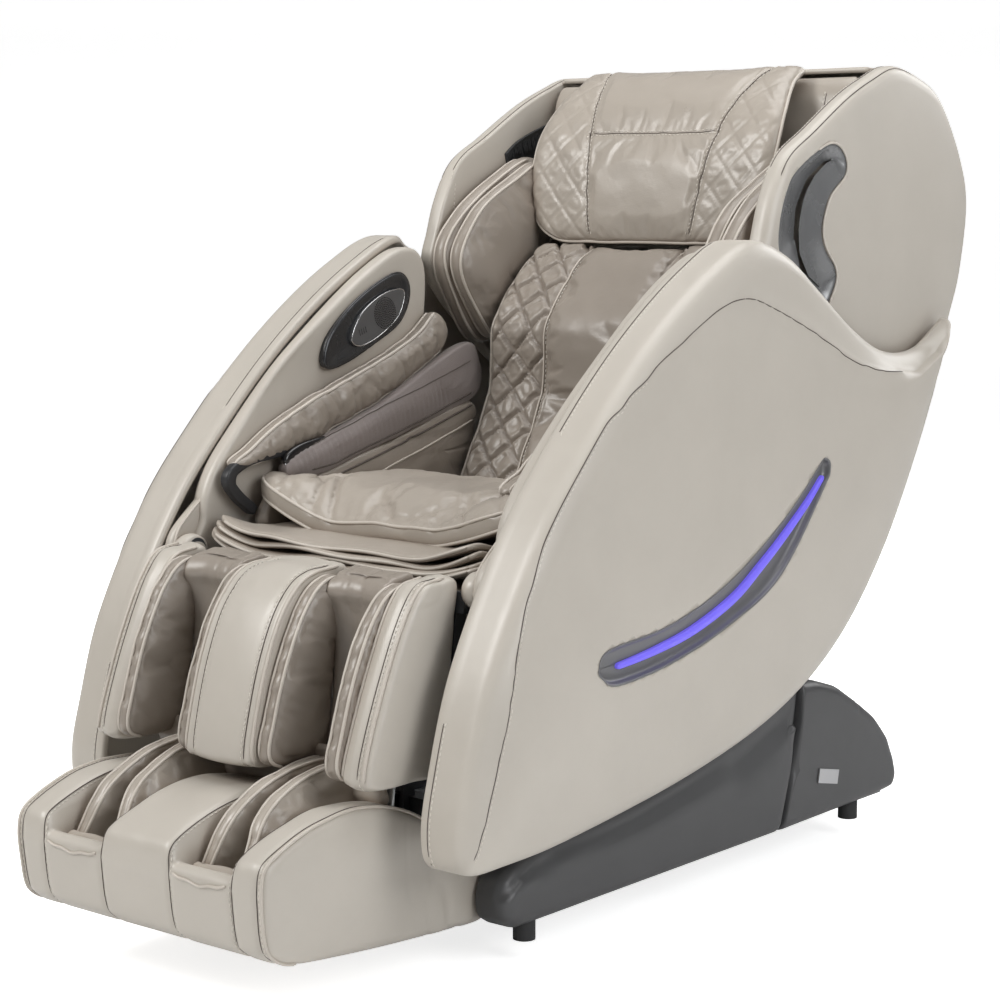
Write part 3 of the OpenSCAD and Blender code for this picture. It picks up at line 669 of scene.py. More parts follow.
def panel_stations():
    st = [(342, 16, 1.0), (342, 16, 0.6), (342, 16, 0.25), (342, 16, 0)]
    st += [(from_inner(0, 0.6, 342), 14.5, 0), (from_inner(2, 0.1, 342), 14, 0), (from_inner(1.5), 12.5, 0),
           (from_inner(0.3), 10.5, 0), (from_inner(0), 8, 0), (from_inner(0.2), 5, 0),
           (from_inner(1.4), 2, 0), (from_inner(3.8), 0.4, 0)]
    st += [(from_inner(7, k), 0, 0) for k in np.linspace(0, 1, 9)]
    st += [(350, 0.8, 0), (356, 3.2, 0), (361, 7.5, 0), (365, 13, 0), (368.5, 20, 0), (372, 30, 0)]
    for t in np.linspace(0, 1, 27)[1:]:
        st.append((372 + 12.6 * (1 - (1 - t) ** 2.2), 30, t))
    return st


def over(tree, y, z, default=380.0):
    """Outermost x of a surface over a side point."""
    hit = tree.ray_cast(Vector((430, y, z)), Vector((-1, 0, 0)))
    return hit[0].x if hit[0] else default


def closed_band(top, low, step=4.0):
    """Closed outline of a crescent with rounded ends."""
    a, b = curve(top, step), curve(low, step)
    norm = np.linalg.norm
    end = (a[-1] + b[-1]) / 2 + 0.35 * (a[-1] - a[-4]) / norm(a[-1] - a[-4]) * norm(a[-1] - b[-1])
    start = (a[0] + b[0]) / 2 - 0.4 * (a[3] - a[0]) / norm(a[3] - a[0]) * norm(a[0] - b[0])
    return smoothed(even(np.vstack([start, a, end, b[::-1]]), step, True), 2)


def cut(ob, outline, x0, x1, side):
    """Cuts a pocket with a side outline out of a piece."""
    v, f = loft([flat_x(outline, side * x0), flat_x(outline, side * x1)])
    n = len(outline)
    faces = [list(q) for q in f] + [list(range(n - 1, -1, -1)), list(range(n, 2 * n))]
    me = bpy.data.meshes.new("tool")
    me.from_pydata((v * MM).tolist(), [], [list(map(int, q)) for q in faces])
    bm = bmesh.new()
    bm.from_mesh(me)
    bmesh.ops.recalc_face_normals(bm, faces=bm.faces)
    bm.to_mesh(me)
    bm.free()
    tool = bpy.data.objects.new("tool", me)
    scene.collection.objects.link(tool)
    m = ob.modifiers.new("pocket", "BOOLEAN")
    m.operation = "DIFFERENCE"
    m.object = tool
    m.solver = "EXACT"
    bake(ob)
    bpy.data.objects.remove(tool)


def side_panel(side):
    """One large side panel with its seams, and the crescent bezel and light strip let into it."""
    ob = pad("side_panel", side, PANEL, PANEL_SPINE, panel_stations(), LEATHER, "seat", node="side_panels")
    c = co(ob)
    outer = ease((np.abs(c[:, 0]) - 360) / 12)
    c[:, 0] += side * outer * (0.5 * noise(c, 170, 3) + 0.22 * noise(c, 60, 5))
    set_co(ob, c)
    front = PANEL[(PANEL[:, 1] > 150) & (PANEL[:, 0] < 60)]
    front = front[np.argsort(front[:, 0] + 0.8 * front[:, 1])]
    edge_path = mirrored(flat_x(front[:, :2], 304), side)
    tree = seam(ob, "seat", edge_path, 1.2, 3.6, rows=(3.2 * side,))
    y, z = curve(PANEL_SEAM, 5).T
    guess = np.where(z < 700, 371, 377)
    path = mirrored(np.column_stack([guess, y, z]), side)
    dip(ob, [snapped(path, tree)[0]], 1.3, 13)
    tree = seam(ob, "seat", path, 1.3, 3.6, rows=())
    low = path[y < -190]
    stitches(snapped(low, tree)[0], tree, "seat", 3.4 * side)
    tree = skin(ob, side)
    bezel = closed_band(CRESCENT_TOP, CRESCENT_LOW)
    xs = np.array([over(tree, *p) for p in bezel])
    a, b = curve(CRESCENT_TOP, 5), curve(CRESCENT_LOW, 5)
    n = min(len(a), len(b), 40)
    middle = ((thinned(a, n) + thinned(b, n)) / 2)[1:-1]
    cut(ob, bezel, 366, 400, side)
    pad("light_bezel", side, bezel, middle, [(xs - 3, -0.3, 0), (xs + 0.3, -0.6, 0), (xs + 1.0, 0.1, 0),
                                             (xs + 1.1, 1.4, 0), (xs + 0.3, 2.4, 0), (xs - 2.5, 3.2, 0),
                                             (xs - 6, 4.4, 0), (xs - 8.5, 7, 0), (xs - 9.5, 11, 0),
                                             (xs - 9.8, 11, 0.5), (xs - 9.8, 11, 1)], BEZEL, "seat",
        node="light_bezels")
    line = curve(STRIP_LINE, 5)
    wide = 3.0 + 4.0 * np.sin(math.pi * np.linspace(0.08, 0.92, len(line)))[:, None]
    reach = offset(line, 1) - line
    strip = closed_band(line + wide * reach, line - wide * reach, 3)
    xs = np.array([over(tree, *p) for p in strip])
    pad("light_strip", side, strip, line[1:-1], [(xs - 10.5, 0, 0), (xs - 6.0, 0, 0), (xs - 4.6, 0.8, 0),
                                                 (xs - 3.8, 2.6, 0), (xs - 3.5, 4, 0.4), (xs - 3.4, 4, 1)],
        LIGHT, "seat", node="light_strips")


for side in (1, -1):
    side_panel(side)

# ---------------------------------------------------------------- hood wings, trims, rear shell

WING = curve([[152, 862], [164, 910], [184, 966], [222, 1023], [290, 1062], [379, 1112], [450, 1142],
              [510, 1160], [580, 1148], [645, 1119], [712, 1036], [741, 955], [724, 850], [692, 778],
              [640, 690], [560, 640], [440, 640], [330, 690], [240, 760], [180, 815]], 5, True)
WING_SPINE = [[270, 900], [600, 920]]
TRIM_LINE = spline([[188, 884], [186, 905], [193, 940], [207, 972], [222, 994], [250, 1013], [285, 1030],
                    [312, 1041], [332, 1043], [350, 1034], [360, 1016], [357, 997], [335, 982], [312, 966],
                    [298, 943], [291, 915], [303, 889], [326, 868], [333, 850], [322, 826], [298, 802],
                    [250, 826], [205, 862]], 8, True)
TRIM_SPINE = [[300, 836], [252, 862], [240, 905], [246, 950], [272, 990], [318, 1016], [334, 1018]]


def wing(side):
    """One side of the hood, with the satin trim let into its front edge."""
    st = [(290, 6, t) for t in (1, 0.7, 0.4, 0.15, 0)] + [(290.8, 3, 0), (292.5, 1, 0), (295, 0, 0)]
    st += [(x, 0, 0) for x in (299, 303, 307)]
    st += [(311, 0.8, 0), (315, 2.6, 0), (318, 5.5, 0), (320.5, 9, 0), (323, 14.5, 0)]
    st += [(323 + 11 * (1 - (1 - t) ** 2.2), 14.5, t) for t in np.linspace(0, 1, 24)[1:]]
    ob = pad("wing", side, WING, WING_SPINE, st, LEATHER, "back", node="wings")
    c = co(ob)
    c[:, 0] += side * ease((np.abs(c[:, 0]) - 312) / 10) * 0.5 * noise(c, 120, 8)
    set_co(ob, c)
    top = WING[(WING[:, 0] > 200) & (WING[:, 0] < 560) & (WING[:, 1] > 960)]
    top = top[np.argsort(top[:, 0])]
    seam(ob, "back", mirrored(flat_x(top, 319), side), 1.2, 3.4, rows=())
    rim = WING[(WING[:, 1] > 1000) | (WING[:, 0] < 200)]
    rim = rim[np.argsort(rim[:, 0])]
    seam(ob, "back", mirrored(flat_x(rim[rim[:, 0] > 170], 296), side), 0.9, 3.0, rows=(3.0 * side,))
    tree = skin(ob, side)
    outline = smoothed(even(TRIM_LINE, 4, True), 3)
    xs = np.array([min(333, over(tree, *p, default=312)) for p in outline])
    xs = smoothed(xs[:, None], 8)[:, 0]
    cut(ob, outline, 303, 350, side)
    st = [(xs * 0 + 302, 0.8, 0), (xs - 6, 0.8, 0), (xs - 2.6, 1.0, 0), (xs - 1.4, 2.2, 0),
          (xs - 1.2, 4.5, 0)]
    st += [(xs - 1.2 - 8.5 * math.sin(math.pi * t / 2), 5, t) for t in np.linspace(0, 1, 14)[1:]]
    pad("wing_trim", side, outline, TRIM_SPINE, st, TRIM, "back", node="wing_trims")
    inner = (outline[:, 0] > 286) & (outline[:, 1] > 812)
    k = int(np.argmax(inner & ~np.roll(inner, 1)))
    order = np.roll(np.arange(len(outline)), -k)
    line = flat_x(outline[order][:int(inner.sum())], 0)
    line[:, 0] = [min(333, over(tree, p[1], p[2], default=318)) - 0.2 for p in line]
    piping(mirrored(line, side), "back", 1.8, smooth=6)


for side in (1, -1):
    wing(side)

SHELL = curve([[478, 1158], [552, 1152], [645, 1118], [712, 1036], [739, 960], [722, 870], [685, 780],
               [630, 690], [562, 600], [490, 530], [400, 474], [300, 452]], 8)


def rear_shell():
    band = np.vstack([SHELL, offset(SHELL, 8)[::-1]])
    v, f = lens(band, offset(SHELL, 4)[2:-2:6], cushion_stations(-288, 288, 3.9, inner=2, around=4,
                                                                 across=40))
    ob = build("rear_shell_cover", v, f, LEATHER, "back", stands=("rear_shell",))
    swell(ob, lambda c, n: 0.5 * noise(c, 150, 4))
    for side in (1, -1):
        path = mirrored(flat_x(SHELL[6:-8], 196), side)
        seam(ob, "back", path, 1.2, 4, rows=(3.2, -3.2))
    x = np.linspace(-280, 280, 90)
    k = int(len(SHELL) * 0.42)
    seam(ob, "back", np.column_stack([x, np.full(90, SHELL[k, 0]), np.full(90, SHELL[k, 1])]), 1.2, 4,
         rows=(3.2,))


rear_shell()


def upper_panel():
    line = smoothed(even([[402, 884], [414, 960], [421, 1010], [446, 1118], [462, 1144], [474, 1146],
                          [468, 1120], [440, 1004], [424, 884]], 6, True), 3)
    v, f = lens(line, [[414, 900], [430, 1000], [460, 1126]],
                cushion_stations(-280, 280, 6, inner=2, around=4, across=56))
    ob = build("upper_back_panel", v, f, CRUSHED_PAINTED_SHADE, "back", stands=("upper_panel",))
    c, n = co(ob), normals(ob)
    front = np.clip(-n[:, 1], 0, 1)
    swell = 1 - (c[:, 0] / 282) ** 4
    gap = (40 - 32 * np.clip((c[:, 2] - 884) / 240, 0, 1))
    c[:, 1] -= front * swell * gap * np.where(np.abs(c[:, 0]) > 218, np.clip((c[:, 2] - 1034) / 40, 0, 1),
                                              1) * 0.8
    c += n * (1.6 * noise(c, (60, 60, 30), 11) * front)[:, None]
    set_co(ob, c)
    for side in (1, -1):
        z = np.linspace(1050, 1128, 20)
        seam(ob, "back", mirrored(np.column_stack([np.full(20, 240), 395 + (z - 1050) * 0.42, z]), side),
             1.5, 5, rows=(3.2 * side,))


upper_panel()


def vent(side):
    """Ribbed air vent let into the inner face of a wing, below its rim."""
    top = curve([[328, 1034], [362, 1056], [432, 1082], [530, 1110]], 4)
    low = curve([[334, 1012], [372, 1004], [430, 994], [474, 1000], [508, 1034], [528, 1074]], 4)
    n = 46
    a, b = thinned(top, n), thinned(low, n)
    outline = np.vstack([a, b[::-1]])
    v, f = lens(outline, (a + b)[2:-2:4] / 2, [(290, 0, 0), (286.5, 0, 0), (285.6, 1, 0), (286.8, 3, 0),
                                               (287.2, 3, 1)])
    parts = [(v, f)]
    for i in range(1, n - 1):
        p, q = a[i] * 0.93 + b[i] * 0.07, a[i] * 0.45 + b[i] * 0.55
        parts.append(tube([[286.2, *p], [285.4, *((p + q) / 2)], [286.2, *q]], 1.1, sides=5))
    v, f = merge(parts)
    build("vent_" + tag(side), mirrored(v, side), f, MESH, "back", stands=once(side, "vent_grilles"))


for side in (1, -1):
    vent(side)

# ---------------------------------------------------------------- leg rest


def stack(shape, spine, stations):
    """Like lens, for an outline that changes along x: shape(x) gives it."""
    return loft([lens(shape(st[0]), spine, [st, st])[0][:len(shape(st[0]))] for st in stations])


def part_of(outline, test):
    """The longest unbroken run of a closed outline that passes a test."""
    keep = test(outline)
    n = len(outline)
    best = []
    for start in np.where(keep & ~np.roll(keep, 1))[0]:
        run = []
        while keep[(start + len(run)) % n] and len(run) < n:
            run.append((start + len(run)) % n)
        best = max(best, run, key=len)
    return outline[best]


CALF_MIDDLE = curve([[-597, 262], [-591, 300], [-570, 375], [-542, 437], [-510, 474], [-480, 488],
                     [-450, 490], [-416, 488], [-420, 440], [-424, 400], [-436, 320], [-446, 250],
                     [-500, 246], [-560, 246], [-590, 252]], 5, True)
CALF_OUTER = curve([[-584, 262], [-574, 300], [-546, 372], [-510, 446], [-480, 484], [-450, 490],
                    [-416, 488], [-420, 440], [-424, 400], [-436, 320], [-446, 250], [-500, 244],
                    [-550, 244], [-577, 250]], 5, True)
CALF_WALL = curve([[-588, 270], [-578, 310], [-556, 376], [-526, 436], [-500, 468], [-474, 482],
                   [-450, 480], [-446, 450], [-456, 400], [-470, 330], [-480, 262], [-520, 250],
                   [-570, 252]], 4, True)
CALF_SPINE = [[-520, 290], [-500, 380], [-466, 450]]


def calf_ridge(name, outline, x0, x1, seams, frames):
    """A firm wall beside a calf: seams is (x, offset of its stitches) and frames the x of its cords."""
    v, f = lens(outline, CALF_SPINE, cushion_stations(x0, x1, 9, 3, 3, 3.5, inner=8, around=5,
                                                      across=int((x1 - x0 - 18) / 5)))
    ob = build(name, v, f, LEATHER, "leg_rest", stands=("calf_cushions",) if x0 < 0 < x1 else ())
    c, n = co(ob), normals(ob)
    top = np.clip((c[:, 2] - 380) / 110, 0, 1)
    set_co(ob, c + n * (0.7 * noise(c, (30, 50, 70), 2) + 1.0 * top * creases(c, (22, 60, 60), 7))[:, None])
    front = part_of(outline, lambda o: (o[:, 0] < -425) & ((o[:, 1] > 300) | (o[:, 0] < -560)))
    for x, row in seams:
        seam(ob, "leg_rest", flat_x(front[3:-2], x), 2.4, 4.5, rows=(row,))
    loop = part_of(smoothed(outline, 14), lambda o: (o[:, 0] < -432) & (o[:, 1] > 256))
    for x in frames:
        piped(flat_x(loop, x), skin(ob), 1.0, "leg_rest", 2.4)


calf_ridge("calf_ridge_middle", CALF_MIDDLE, -61, 61, ((46, 3.4), (-46, -3.4)), (60, -60))
for side in (1, -1):
    a, b = sorted((203 * side, 250 * side))
    calf_ridge("calf_ridge_" + tag(side), CALF_OUTER, a, b, ((231 * side, 3.4 * -side),),
               (241 * side, 204 * side))


def calf_bag(name, x0, x1):
    """An airbag standing beside a calf: broad faces, a pleated gusset at the front, piping on both edges."""
    v, f = lens(CALF_WALL, CALF_SPINE, cushion_stations(x0, x1, 5, 5, 5, 1.5, inner=9, around=4, across=6))
    ob = build(name, v, f, BAG_PAINTED_SHADE, "leg_rest", stands=("calf_airbags",) if name.endswith("left_outer") else ())
    c, n = co(ob), normals(ob)
    gusset = np.clip(1 - np.abs(n[:, 0]) * 1.4, 0, 1)
    pleat = np.sin(c[:, 2] / 4.6 + 1.4 * noise(c, (200, 200, 46), 3)) * gusset * 1.5
    high = np.clip((c[:, 2] - 410) / 70, 0, 1)
    gather = 2.6 * high * creases(c, (40, 22, 60), 5 + x0 % 7)
    set_co(ob, c + n * (pleat + gather + 1.3 * noise(c, (40, 46, 34), 4))[:, None])

    def sew(tree):
        loop = part_of(CALF_WALL, lambda o: (o[:, 0] < -446) & ((o[:, 1] > 268) | (o[:, 0] < -560)))
        for x in (x0 + 1.5, x1 - 1.5):
            piped(flat_x(loop, x), tree, 1.0, "leg_rest", 2.3, smooth=8)

    def pinned(c):
        off = np.abs(c[:, 0] - (x0 + x1) / 2) - (x1 - x0) / 2
        return (off < 0.5) & (off > -5) & (away_edge(c, CALF_WALL) < 7)

    soften(ob, pinned, cap=6, after=sew)


def away_edge(c, outline):
    """Distance in the side view from points to an outline."""
    o = outline[:, :2]
    return np.array([np.min(np.hypot(o[:, 0] - y, o[:, 1] - z)) for y, z in c[:, 1:]])


for side in (1, -1):
    for name, near, far in (("outer", 180, 201), ("inner", 63, 84)):
        a, b = sorted((near * side, far * side))
        calf_bag(f"calf_bag_{tag(side)}_{name}", a, b)


def channel_pad(side):
    line = curve([[-486, 262], [-474, 330], [-470, 400], [-478, 444], [-486, 466], [-474, 484], [-446, 490],
                  [-420, 486], [-424, 420], [-440, 300], [-446, 258], [-466, 254]], 5, True)
    x0, x1 = 83, 181
    ob = pad("calf_channel", side, line, [[-462, 290], [-448, 440]],
             cushion_stations(x0, x1, 6, inner=3, around=4, across=20), BAG_PAINTED_SHADE, "leg_rest")
    c, n = co(ob), normals(ob)
    sag = 9 * np.sin(math.pi * np.clip((np.abs(c[:, 0]) - x0) / (x1 - x0), 0, 1))
    c[:, 1] += np.where(n[:, 1] < -0.2, sag, 0)
    high = np.clip((c[:, 2] - 400) / 80, 0, 1)
    set_co(ob, c + n * (2.2 * noise(c, (24, 60, 46), 6) + 3 * high * creases(c, (18, 80, 70), 9))[:, None])


def knee_cap(side):
    """Padded cap over the leg rest's pivot."""
    a = np.linspace(0, 2 * math.pi, 60, endpoint=False)
    line = np.column_stack([-392 + 27 * np.cos(a), 474 + 24 * np.sin(a)])
    pad("knee_cap", side, line, [[-404, 474], [-380, 474]],
        cushion_stations(252.5, 277, 7, 2, 1, 1, inner=5, around=4, across=3), LEATHER, "seat")


for side in (1, -1):
    channel_pad(side)
    knee_cap(side)


def leg_sleeve():
    """Soft sleeve that hangs from the calves into the foot rest."""
    line = curve([[-508, 120], [-512, 190], [-508, 262], [-498, 262], [-500, 190], [-496, 120]], 4, True)
    v, f = lens(line, [[-503, 140], [-505, 240]], cushion_stations(-206, 206, 5, inner=3, around=3,
                                                                   across=40))
    ob = build("leg_sleeve", v, f, CRUSHED_PAINTED_SHADE, "leg_rest")
    swell(ob, lambda c, n: 2.0 * np.sin(c[:, 2] / 4.2))


leg_sleeve()

# ---------------------------------------------------------------- foot rest

RIDGE_TOP = curve([[-742, 147], [-738, 176], [-720, 192], [-661, 214], [-600, 224], [-537, 219],
                   [-482, 202], [-420, 168]], 3.6)
WELL_TOP = spline([[-742, 147], [-738, 157], [-724, 160], [-706, 142], [-694, 106], [-660, 86], [-600, 82],
                   [-530, 90], [-500, 120], [-484, 168], [-462, 186], [-420, 168]], 8)
FOOT_LOW = curve([[-420, 168], [-340, 116], [-306, 86], [-300, 66], [-306, 46], [-346, 24], [-502, 33],
                  [-676, 50], [-722, 66], [-736, 90], [-742, 147]], 5)[1:-1]
at = np.linspace(0, 1, len(RIDGE_TOP))
run = lengths(WELL_TOP)
WELL_TOP = np.column_stack([np.interp(at * run[-1], run, WELL_TOP[:, k]) for k in (0, 1)])
FOOT_SPINE = [[-690, 120], [-560, 132], [-420, 110], [-330, 66]]
FOOT_FLAP = curve([[-704, 134], [-692, 164], [-660, 214], [-606, 244], [-548, 256], [-500, 254],
                   [-474, 232], [-476, 150], [-540, 100], [-640, 98], [-690, 112]], 4, True)


FLAP_LEAN = 0.16  # sideways lean of a foot airbag for each mm of height


def foot_outline(x):
    """Side outline of the foot rest at x: high on its ridges, low in the two wells, lapped between."""
    a = abs(x)
    well = float(ease((a - 60) / 10) * ease((172 - a) / 10))
    lap = max(0.0, 1 - min(abs(a - 64), abs(a - 168)) / 26) if well < 0.5 else 0
    top = RIDGE_TOP * (1 - well) + WELL_TOP * well
    top = top + np.array([1.5, -4.5]) * lap**2 * np.sin(np.pi * at)[:, None]
    return np.vstack([top, FOOT_LOW])


def foot_body():
    st = cushion_stations(-226, 226, 15, 3, 3, 0, inner=8, around=7, across=2)
    half = len(st) // 2
    mid = [(x, 0, 0) for x in np.arange(-208, 209, 3.2)]
    v, f = stack(foot_outline, FOOT_SPINE, st[:half] + mid + st[half + 1:])
    ob = build("foot_cushion", v, f, LEATHER, "foot_rest", stands=("foot_body",))
    c, n = co(ob), normals(ob)
    upper = np.clip((c[:, 2] - 150) / 60, 0, 1)
    side = np.clip((np.abs(c[:, 0]) - 205) / 20, 0, 1) * np.clip((c[:, 1] + 520) / 120, 0, 1)
    set_co(ob, c + n * (0.9 * noise(c, (60, 60, 60), 5) + 1.0 * upper * noise(c, (24, 40, 40), 2)
                        + 3.2 * side * creases(c, (60, 40, 120), 4))[:, None])
    top = np.vstack([FOOT_LOW[-34:], RIDGE_TOP[:-8]])
    for x, row in ((62, -3.4), (-62, 3.4), (171, 3.4), (-171, -3.4)):
        seam(ob, "foot_rest", flat_x(top, x), 2.2, 4.5, rows=(row,) if abs(x) > 100 or x > 0 else ())
    for s in (1, -1):
        loop = smoothed(np.vstack([FOOT_LOW[-26:], RIDGE_TOP[:-4]]), 6, closed=False)
        seam(ob, "foot_rest", flat_x(loop, 213 * s), 2.2, 5, rows=(-3.8 * s,))
        piped(flat_x(loop, 221 * s), skin(ob), 1.2, "foot_rest", 2.3)
    return ob


FOOT = foot_body()


def foot_flap(side, near, far):
    """A soft wall that stands beside the foot in its well."""
    v, f = lens(FOOT_FLAP, [[-650, 150], [-580, 180], [-510, 190]],
                cushion_stations(near, far, 4, 4, 4, 1, inner=9, around=3, across=5))
    outer = near > 110
    lean = -FLAP_LEAN if outer else FLAP_LEAN
    v[:, 0] += lean * (v[:, 2] - 130)
    ob = build(f"foot_flap_{tag(side)}_{'outer' if outer else 'inner'}", mirrored(v, side), f, CRUSHED_PAINTED_SHADE,
               "foot_rest", stands=once(side if outer else -1, "foot_airbags"))
    swell(ob, lambda c, n: 1.8 * noise(c, (40, 34, 26), near) + 2.0 * creases(c, (50, 60, 24), near + 3))

    def sew(tree):
        loop = part_of(FOOT_FLAP, lambda o: (o[:, 1] > 128) & (o[:, 0] < -476))
        for x in (near + 1, far - 1):
            piped(mirrored(flat_x(loop, x + lean * (loop[:, 1] - 130)), side), tree, 0.8, "foot_rest", 2.2,
                  smooth=8)

    soften(ob, lambda c: away_edge(c, FOOT_FLAP) < 6, cap=6, after=sew)


for side in (1, -1):
    foot_flap(side, 70, 88)
    foot_flap(side, 144, 162)


def sole(side):
    """The soft sole in a well, with a piped lip at the front."""
    line = curve([[-718, 150], [-704, 158], [-680, 130], [-640, 112], [-560, 108], [-500, 120], [-492, 104],
                  [-560, 84], [-640, 80], [-694, 92], [-712, 120]], 5, True)
    ob = pad("sole", side, line, [[-690, 118], [-640, 98], [-520, 104]],
             cushion_stations(76, 156, 5, 2, 2, 2, inner=3, around=3, across=18), CRUSHED_PAINTED_SHADE, "foot_rest")
    swell(ob, lambda c, n: 2.4 * noise(c, (26, 30, 30), 3) + 2 * creases(c, (30, 26, 40), 8))
    x = np.linspace(68, 164, 40)
    dipped = 156 - 15 * (1 - np.abs((x - 116) / 48) ** 1.3)
    piped(mirrored(np.column_stack([x, np.full(40, -760), dipped]), side), skin(FOOT), 0.7, "foot_rest", 1.9)


for side in (1, -1):
    sole(side)

# ---------------------------------------------------------------- seat


def plan(v):
    """Turns a lens built in plan, (x, y) outline with height as its station, the right way up."""
    return v[:, [1, 2, 0]]


def layer_wave(x, k):
    """Waves of a seat layer's front edge, and the lift of its corners."""
    return (3.4 * np.sin(x / 62 + 1.3 * k) + 2.2 * np.sin(x / 27 + 2.1 * k),
            26 * np.clip((np.abs(x) - 150) / 100, 0, 1) ** 1.6)


def seat_layer(k):
    """One of the thin loose leather layers under the seat cushion, wavy along its front edge."""
    z0 = 469 + 9.5 * k
    front = -384 + 3.5 * k
    wide = 250 - 3 * k
    line = curve([[-wide, front + 26], [-wide + 16, front + 6], [-150, front + 2], [-60, front - 3],
                        [60, front], [150, front - 3], [wide - 16, front + 6], [wide, front + 26],
                  [wide - 2, -336],
                        [216, -318], [212, -200], [212, 60], [190, 90], [0, 94], [-190, 90], [-212, 60],
                        [-212, -200], [-216, -318], [-wide + 2, -336]], 6, True, 6)
    v, f = lens(line, [[-170, -200], [170, -200]], [(0, 3.5, t) for t in (1, 0.7, 0.45, 0.25, 0.1, 0)] + [
        (0.6, 1.4, 0), (2.5, 0, 0), (5.0, 0, 0), (7.2, 1.2, 0)]
                + [(8.2, 3.5, t) for t in (0, 0.1, 0.25, 0.45, 0.7, 1)])
    v = plan(v)
    near = np.clip((-v[:, 1] - 250) / 120, 0, 1)
    wave, up = layer_wave(v[:, 0], k)
    v[:, 2] += z0 + near * wave * 0.8 + up * np.clip((-v[:, 1] - 300) / 60, 0, 1)
    v[:, 1] += near * 3.0 * np.sin(v[:, 0] / 48 + 2.3 * k)
    ob = build(f"seat_layer_{k}", v, f, CRUSHED_PAINTED_SHADE, "seat", stands=("seat_airbags",) if k == 0 else ())
    x = np.linspace(-wide + 12, wide - 12, 150)
    wave, up = layer_wave(x, k)
    piped(np.column_stack([x, np.full(150, front - 12), z0 + 4 + 0.8 * wave + up]), skin(ob), 0.4, "seat",
          2.2, smooth=10)


for k in range(4):
    seat_layer(k)

SEAT_LINE = curve([[-246, -262], [-226, -284], [-150, -292], [-60, -286], [60, -290], [150, -294],
                   [226, -284], [246, -262], [242, -238], [214, -216], [212, -100], [210, 60], [196, 92],
                   [0, 96], [-196, 92], [-210, 60], [-212, -100], [-214, -216], [-242, -238]], 5.5, True)


def seat_lift(x, y):
    """Height of the seat pad's under side: its front corners curl up, its middle sags."""
    curl = 46 * np.clip((np.abs(x) - 96) / 150, 0, 1) ** 1.35
    sag = 7 * np.exp(-((x + 84) / 46) ** 2)
    return 500 + curl * np.clip((-y - 60) / 190, 0.0, 1) - sag * np.clip((-y - 150) / 120, 0, 1)


def seat_cushion():
    st = [(0, 4, t) for t in (1, 0.6, 0.3, 0.12, 0)]
    st += [(1, 1.6, 0), (4, 0, 0), (11, -1.0, 0), (18, -1.0, 0), (24, 0, 0), (27, 1.8, 0), (28, 4, 0)]
    st += [(28 + 26 * (1 - (1 - t) ** 3.0), 4, t) for t in np.linspace(0, 1, 42)[1:]]
    v, f = lens(SEAT_LINE, [[-120, -150], [120, -150]], st)
    v = plan(v)
    back = np.clip((v[:, 1] + 60) / 150, 0, 1)
    v[:, 2] = seat_lift(v[:, 0], v[:, 1]) + v[:, 2] * (1 - 0.35 * back)
    ob = build("seat_cushion", v, f, CRUSHED_PAINTED_SHADE, "seat", stands=("seat_pad",))
    c, n = co(ob), normals(ob)
    lay = np.clip(n[:, 2], 0, 1)
    flow = c + c[:, 1:2] * [0.55, 0, 0]
    fold = 6.0 * creases(flow, (46, 190, 900), 4) + 3.0 * creases(flow, (24, 120, 900), 9)
    set_co(ob, c + n * (lay * (fold + 3.0 * noise(c, (70, 60, 900), 2)))[:, None])

    def sew(tree):
        loop = part_of(SEAT_LINE, lambda o: o[:, 1] < -226)
        for height in (2.5, 26):
            z = seat_lift(loop[:, 0], loop[:, 1]) + height
            piped(np.column_stack([loop, z]), tree, 0.9, "seat", 2.4, smooth=8)

    soften(ob, lambda c: (c[:, 2] < seat_lift(c[:, 0], c[:, 1]) + 29) & (c[:, 1] < -220) | (c[:, 2] < 506)
           | (c[:, 1] > 60), cap=16, pressure=3.0, slack=0.05, after=sew, voxel=5)


seat_cushion()


def seat_base():
    """Front of the seat base under the thin layers."""
    line = curve([[-346, 428], [-358, 442], [-356, 460], [-340, 467], [80, 463], [94, 450], [90, 428]], 6,
                 True)
    v, f = lens(line, [[-320, 446], [70, 446]], cushion_stations(-212, 212, 8, 2, 2, 0, inner=3, across=30))
    ob = build("seat_base_cushion", v, f, LEATHER, "seat")
    swell(ob, lambda c, n: 1.2 * noise(c, 40, 5))
    # the leg rest's actuator rod swings up into this slot, which continues the one in the seat pan
    cut(ob, np.array([[-400, 418], [-262, 418], [-262, 448], [-400, 448]]), 50, 90, 1)


seat_base()

# ---------------------------------------------------------------- arms


GRILLE = material("speaker_grille", (0.12, 0.122, 0.126), 0.34, metal=0.4, vary=0.08,
                  bumps=(("pebble", 900, 0.1, 0.3),))
ARM_LINE = curve([[-352, 446], [-366, 520], [-350, 574], [-300, 634], [-206, 724], [-98, 806], [-20, 856],
                  [52, 888], [100, 876], [110, 810], [86, 640], [62, 446]], 5, True)
ARM_PAD = curve([[-330, 592], [-300, 606], [-258, 632], [-180, 668], [-67, 706], [20, 738], [72, 764],
                 [104, 792], [128, 770], [120, 738], [76, 712], [-6, 672], [-94, 638], [-171, 612],
                 [-241, 598], [-304, 588]], 4, True)
FOREARM = curve([[-230, 590], [-160, 616], [-94, 638], [-6, 672], [80, 712], [160, 742], [186, 722],
                 [182, 660], [46, 620], [-62, 592], [-141, 572], [-200, 560], [-236, 566]], 4, True)
FOREARM_LOW = [-236, -141, -62, 46, 186], [560, 572, 592, 620, 662]
HIP = curve([[-282, 500], [-262, 548], [-200, 562], [-141, 574], [-62, 594], [46, 622], [136, 648],
             [176, 640], [168, 540], [140, 500], [0, 496], [-150, 498]], 5, True)
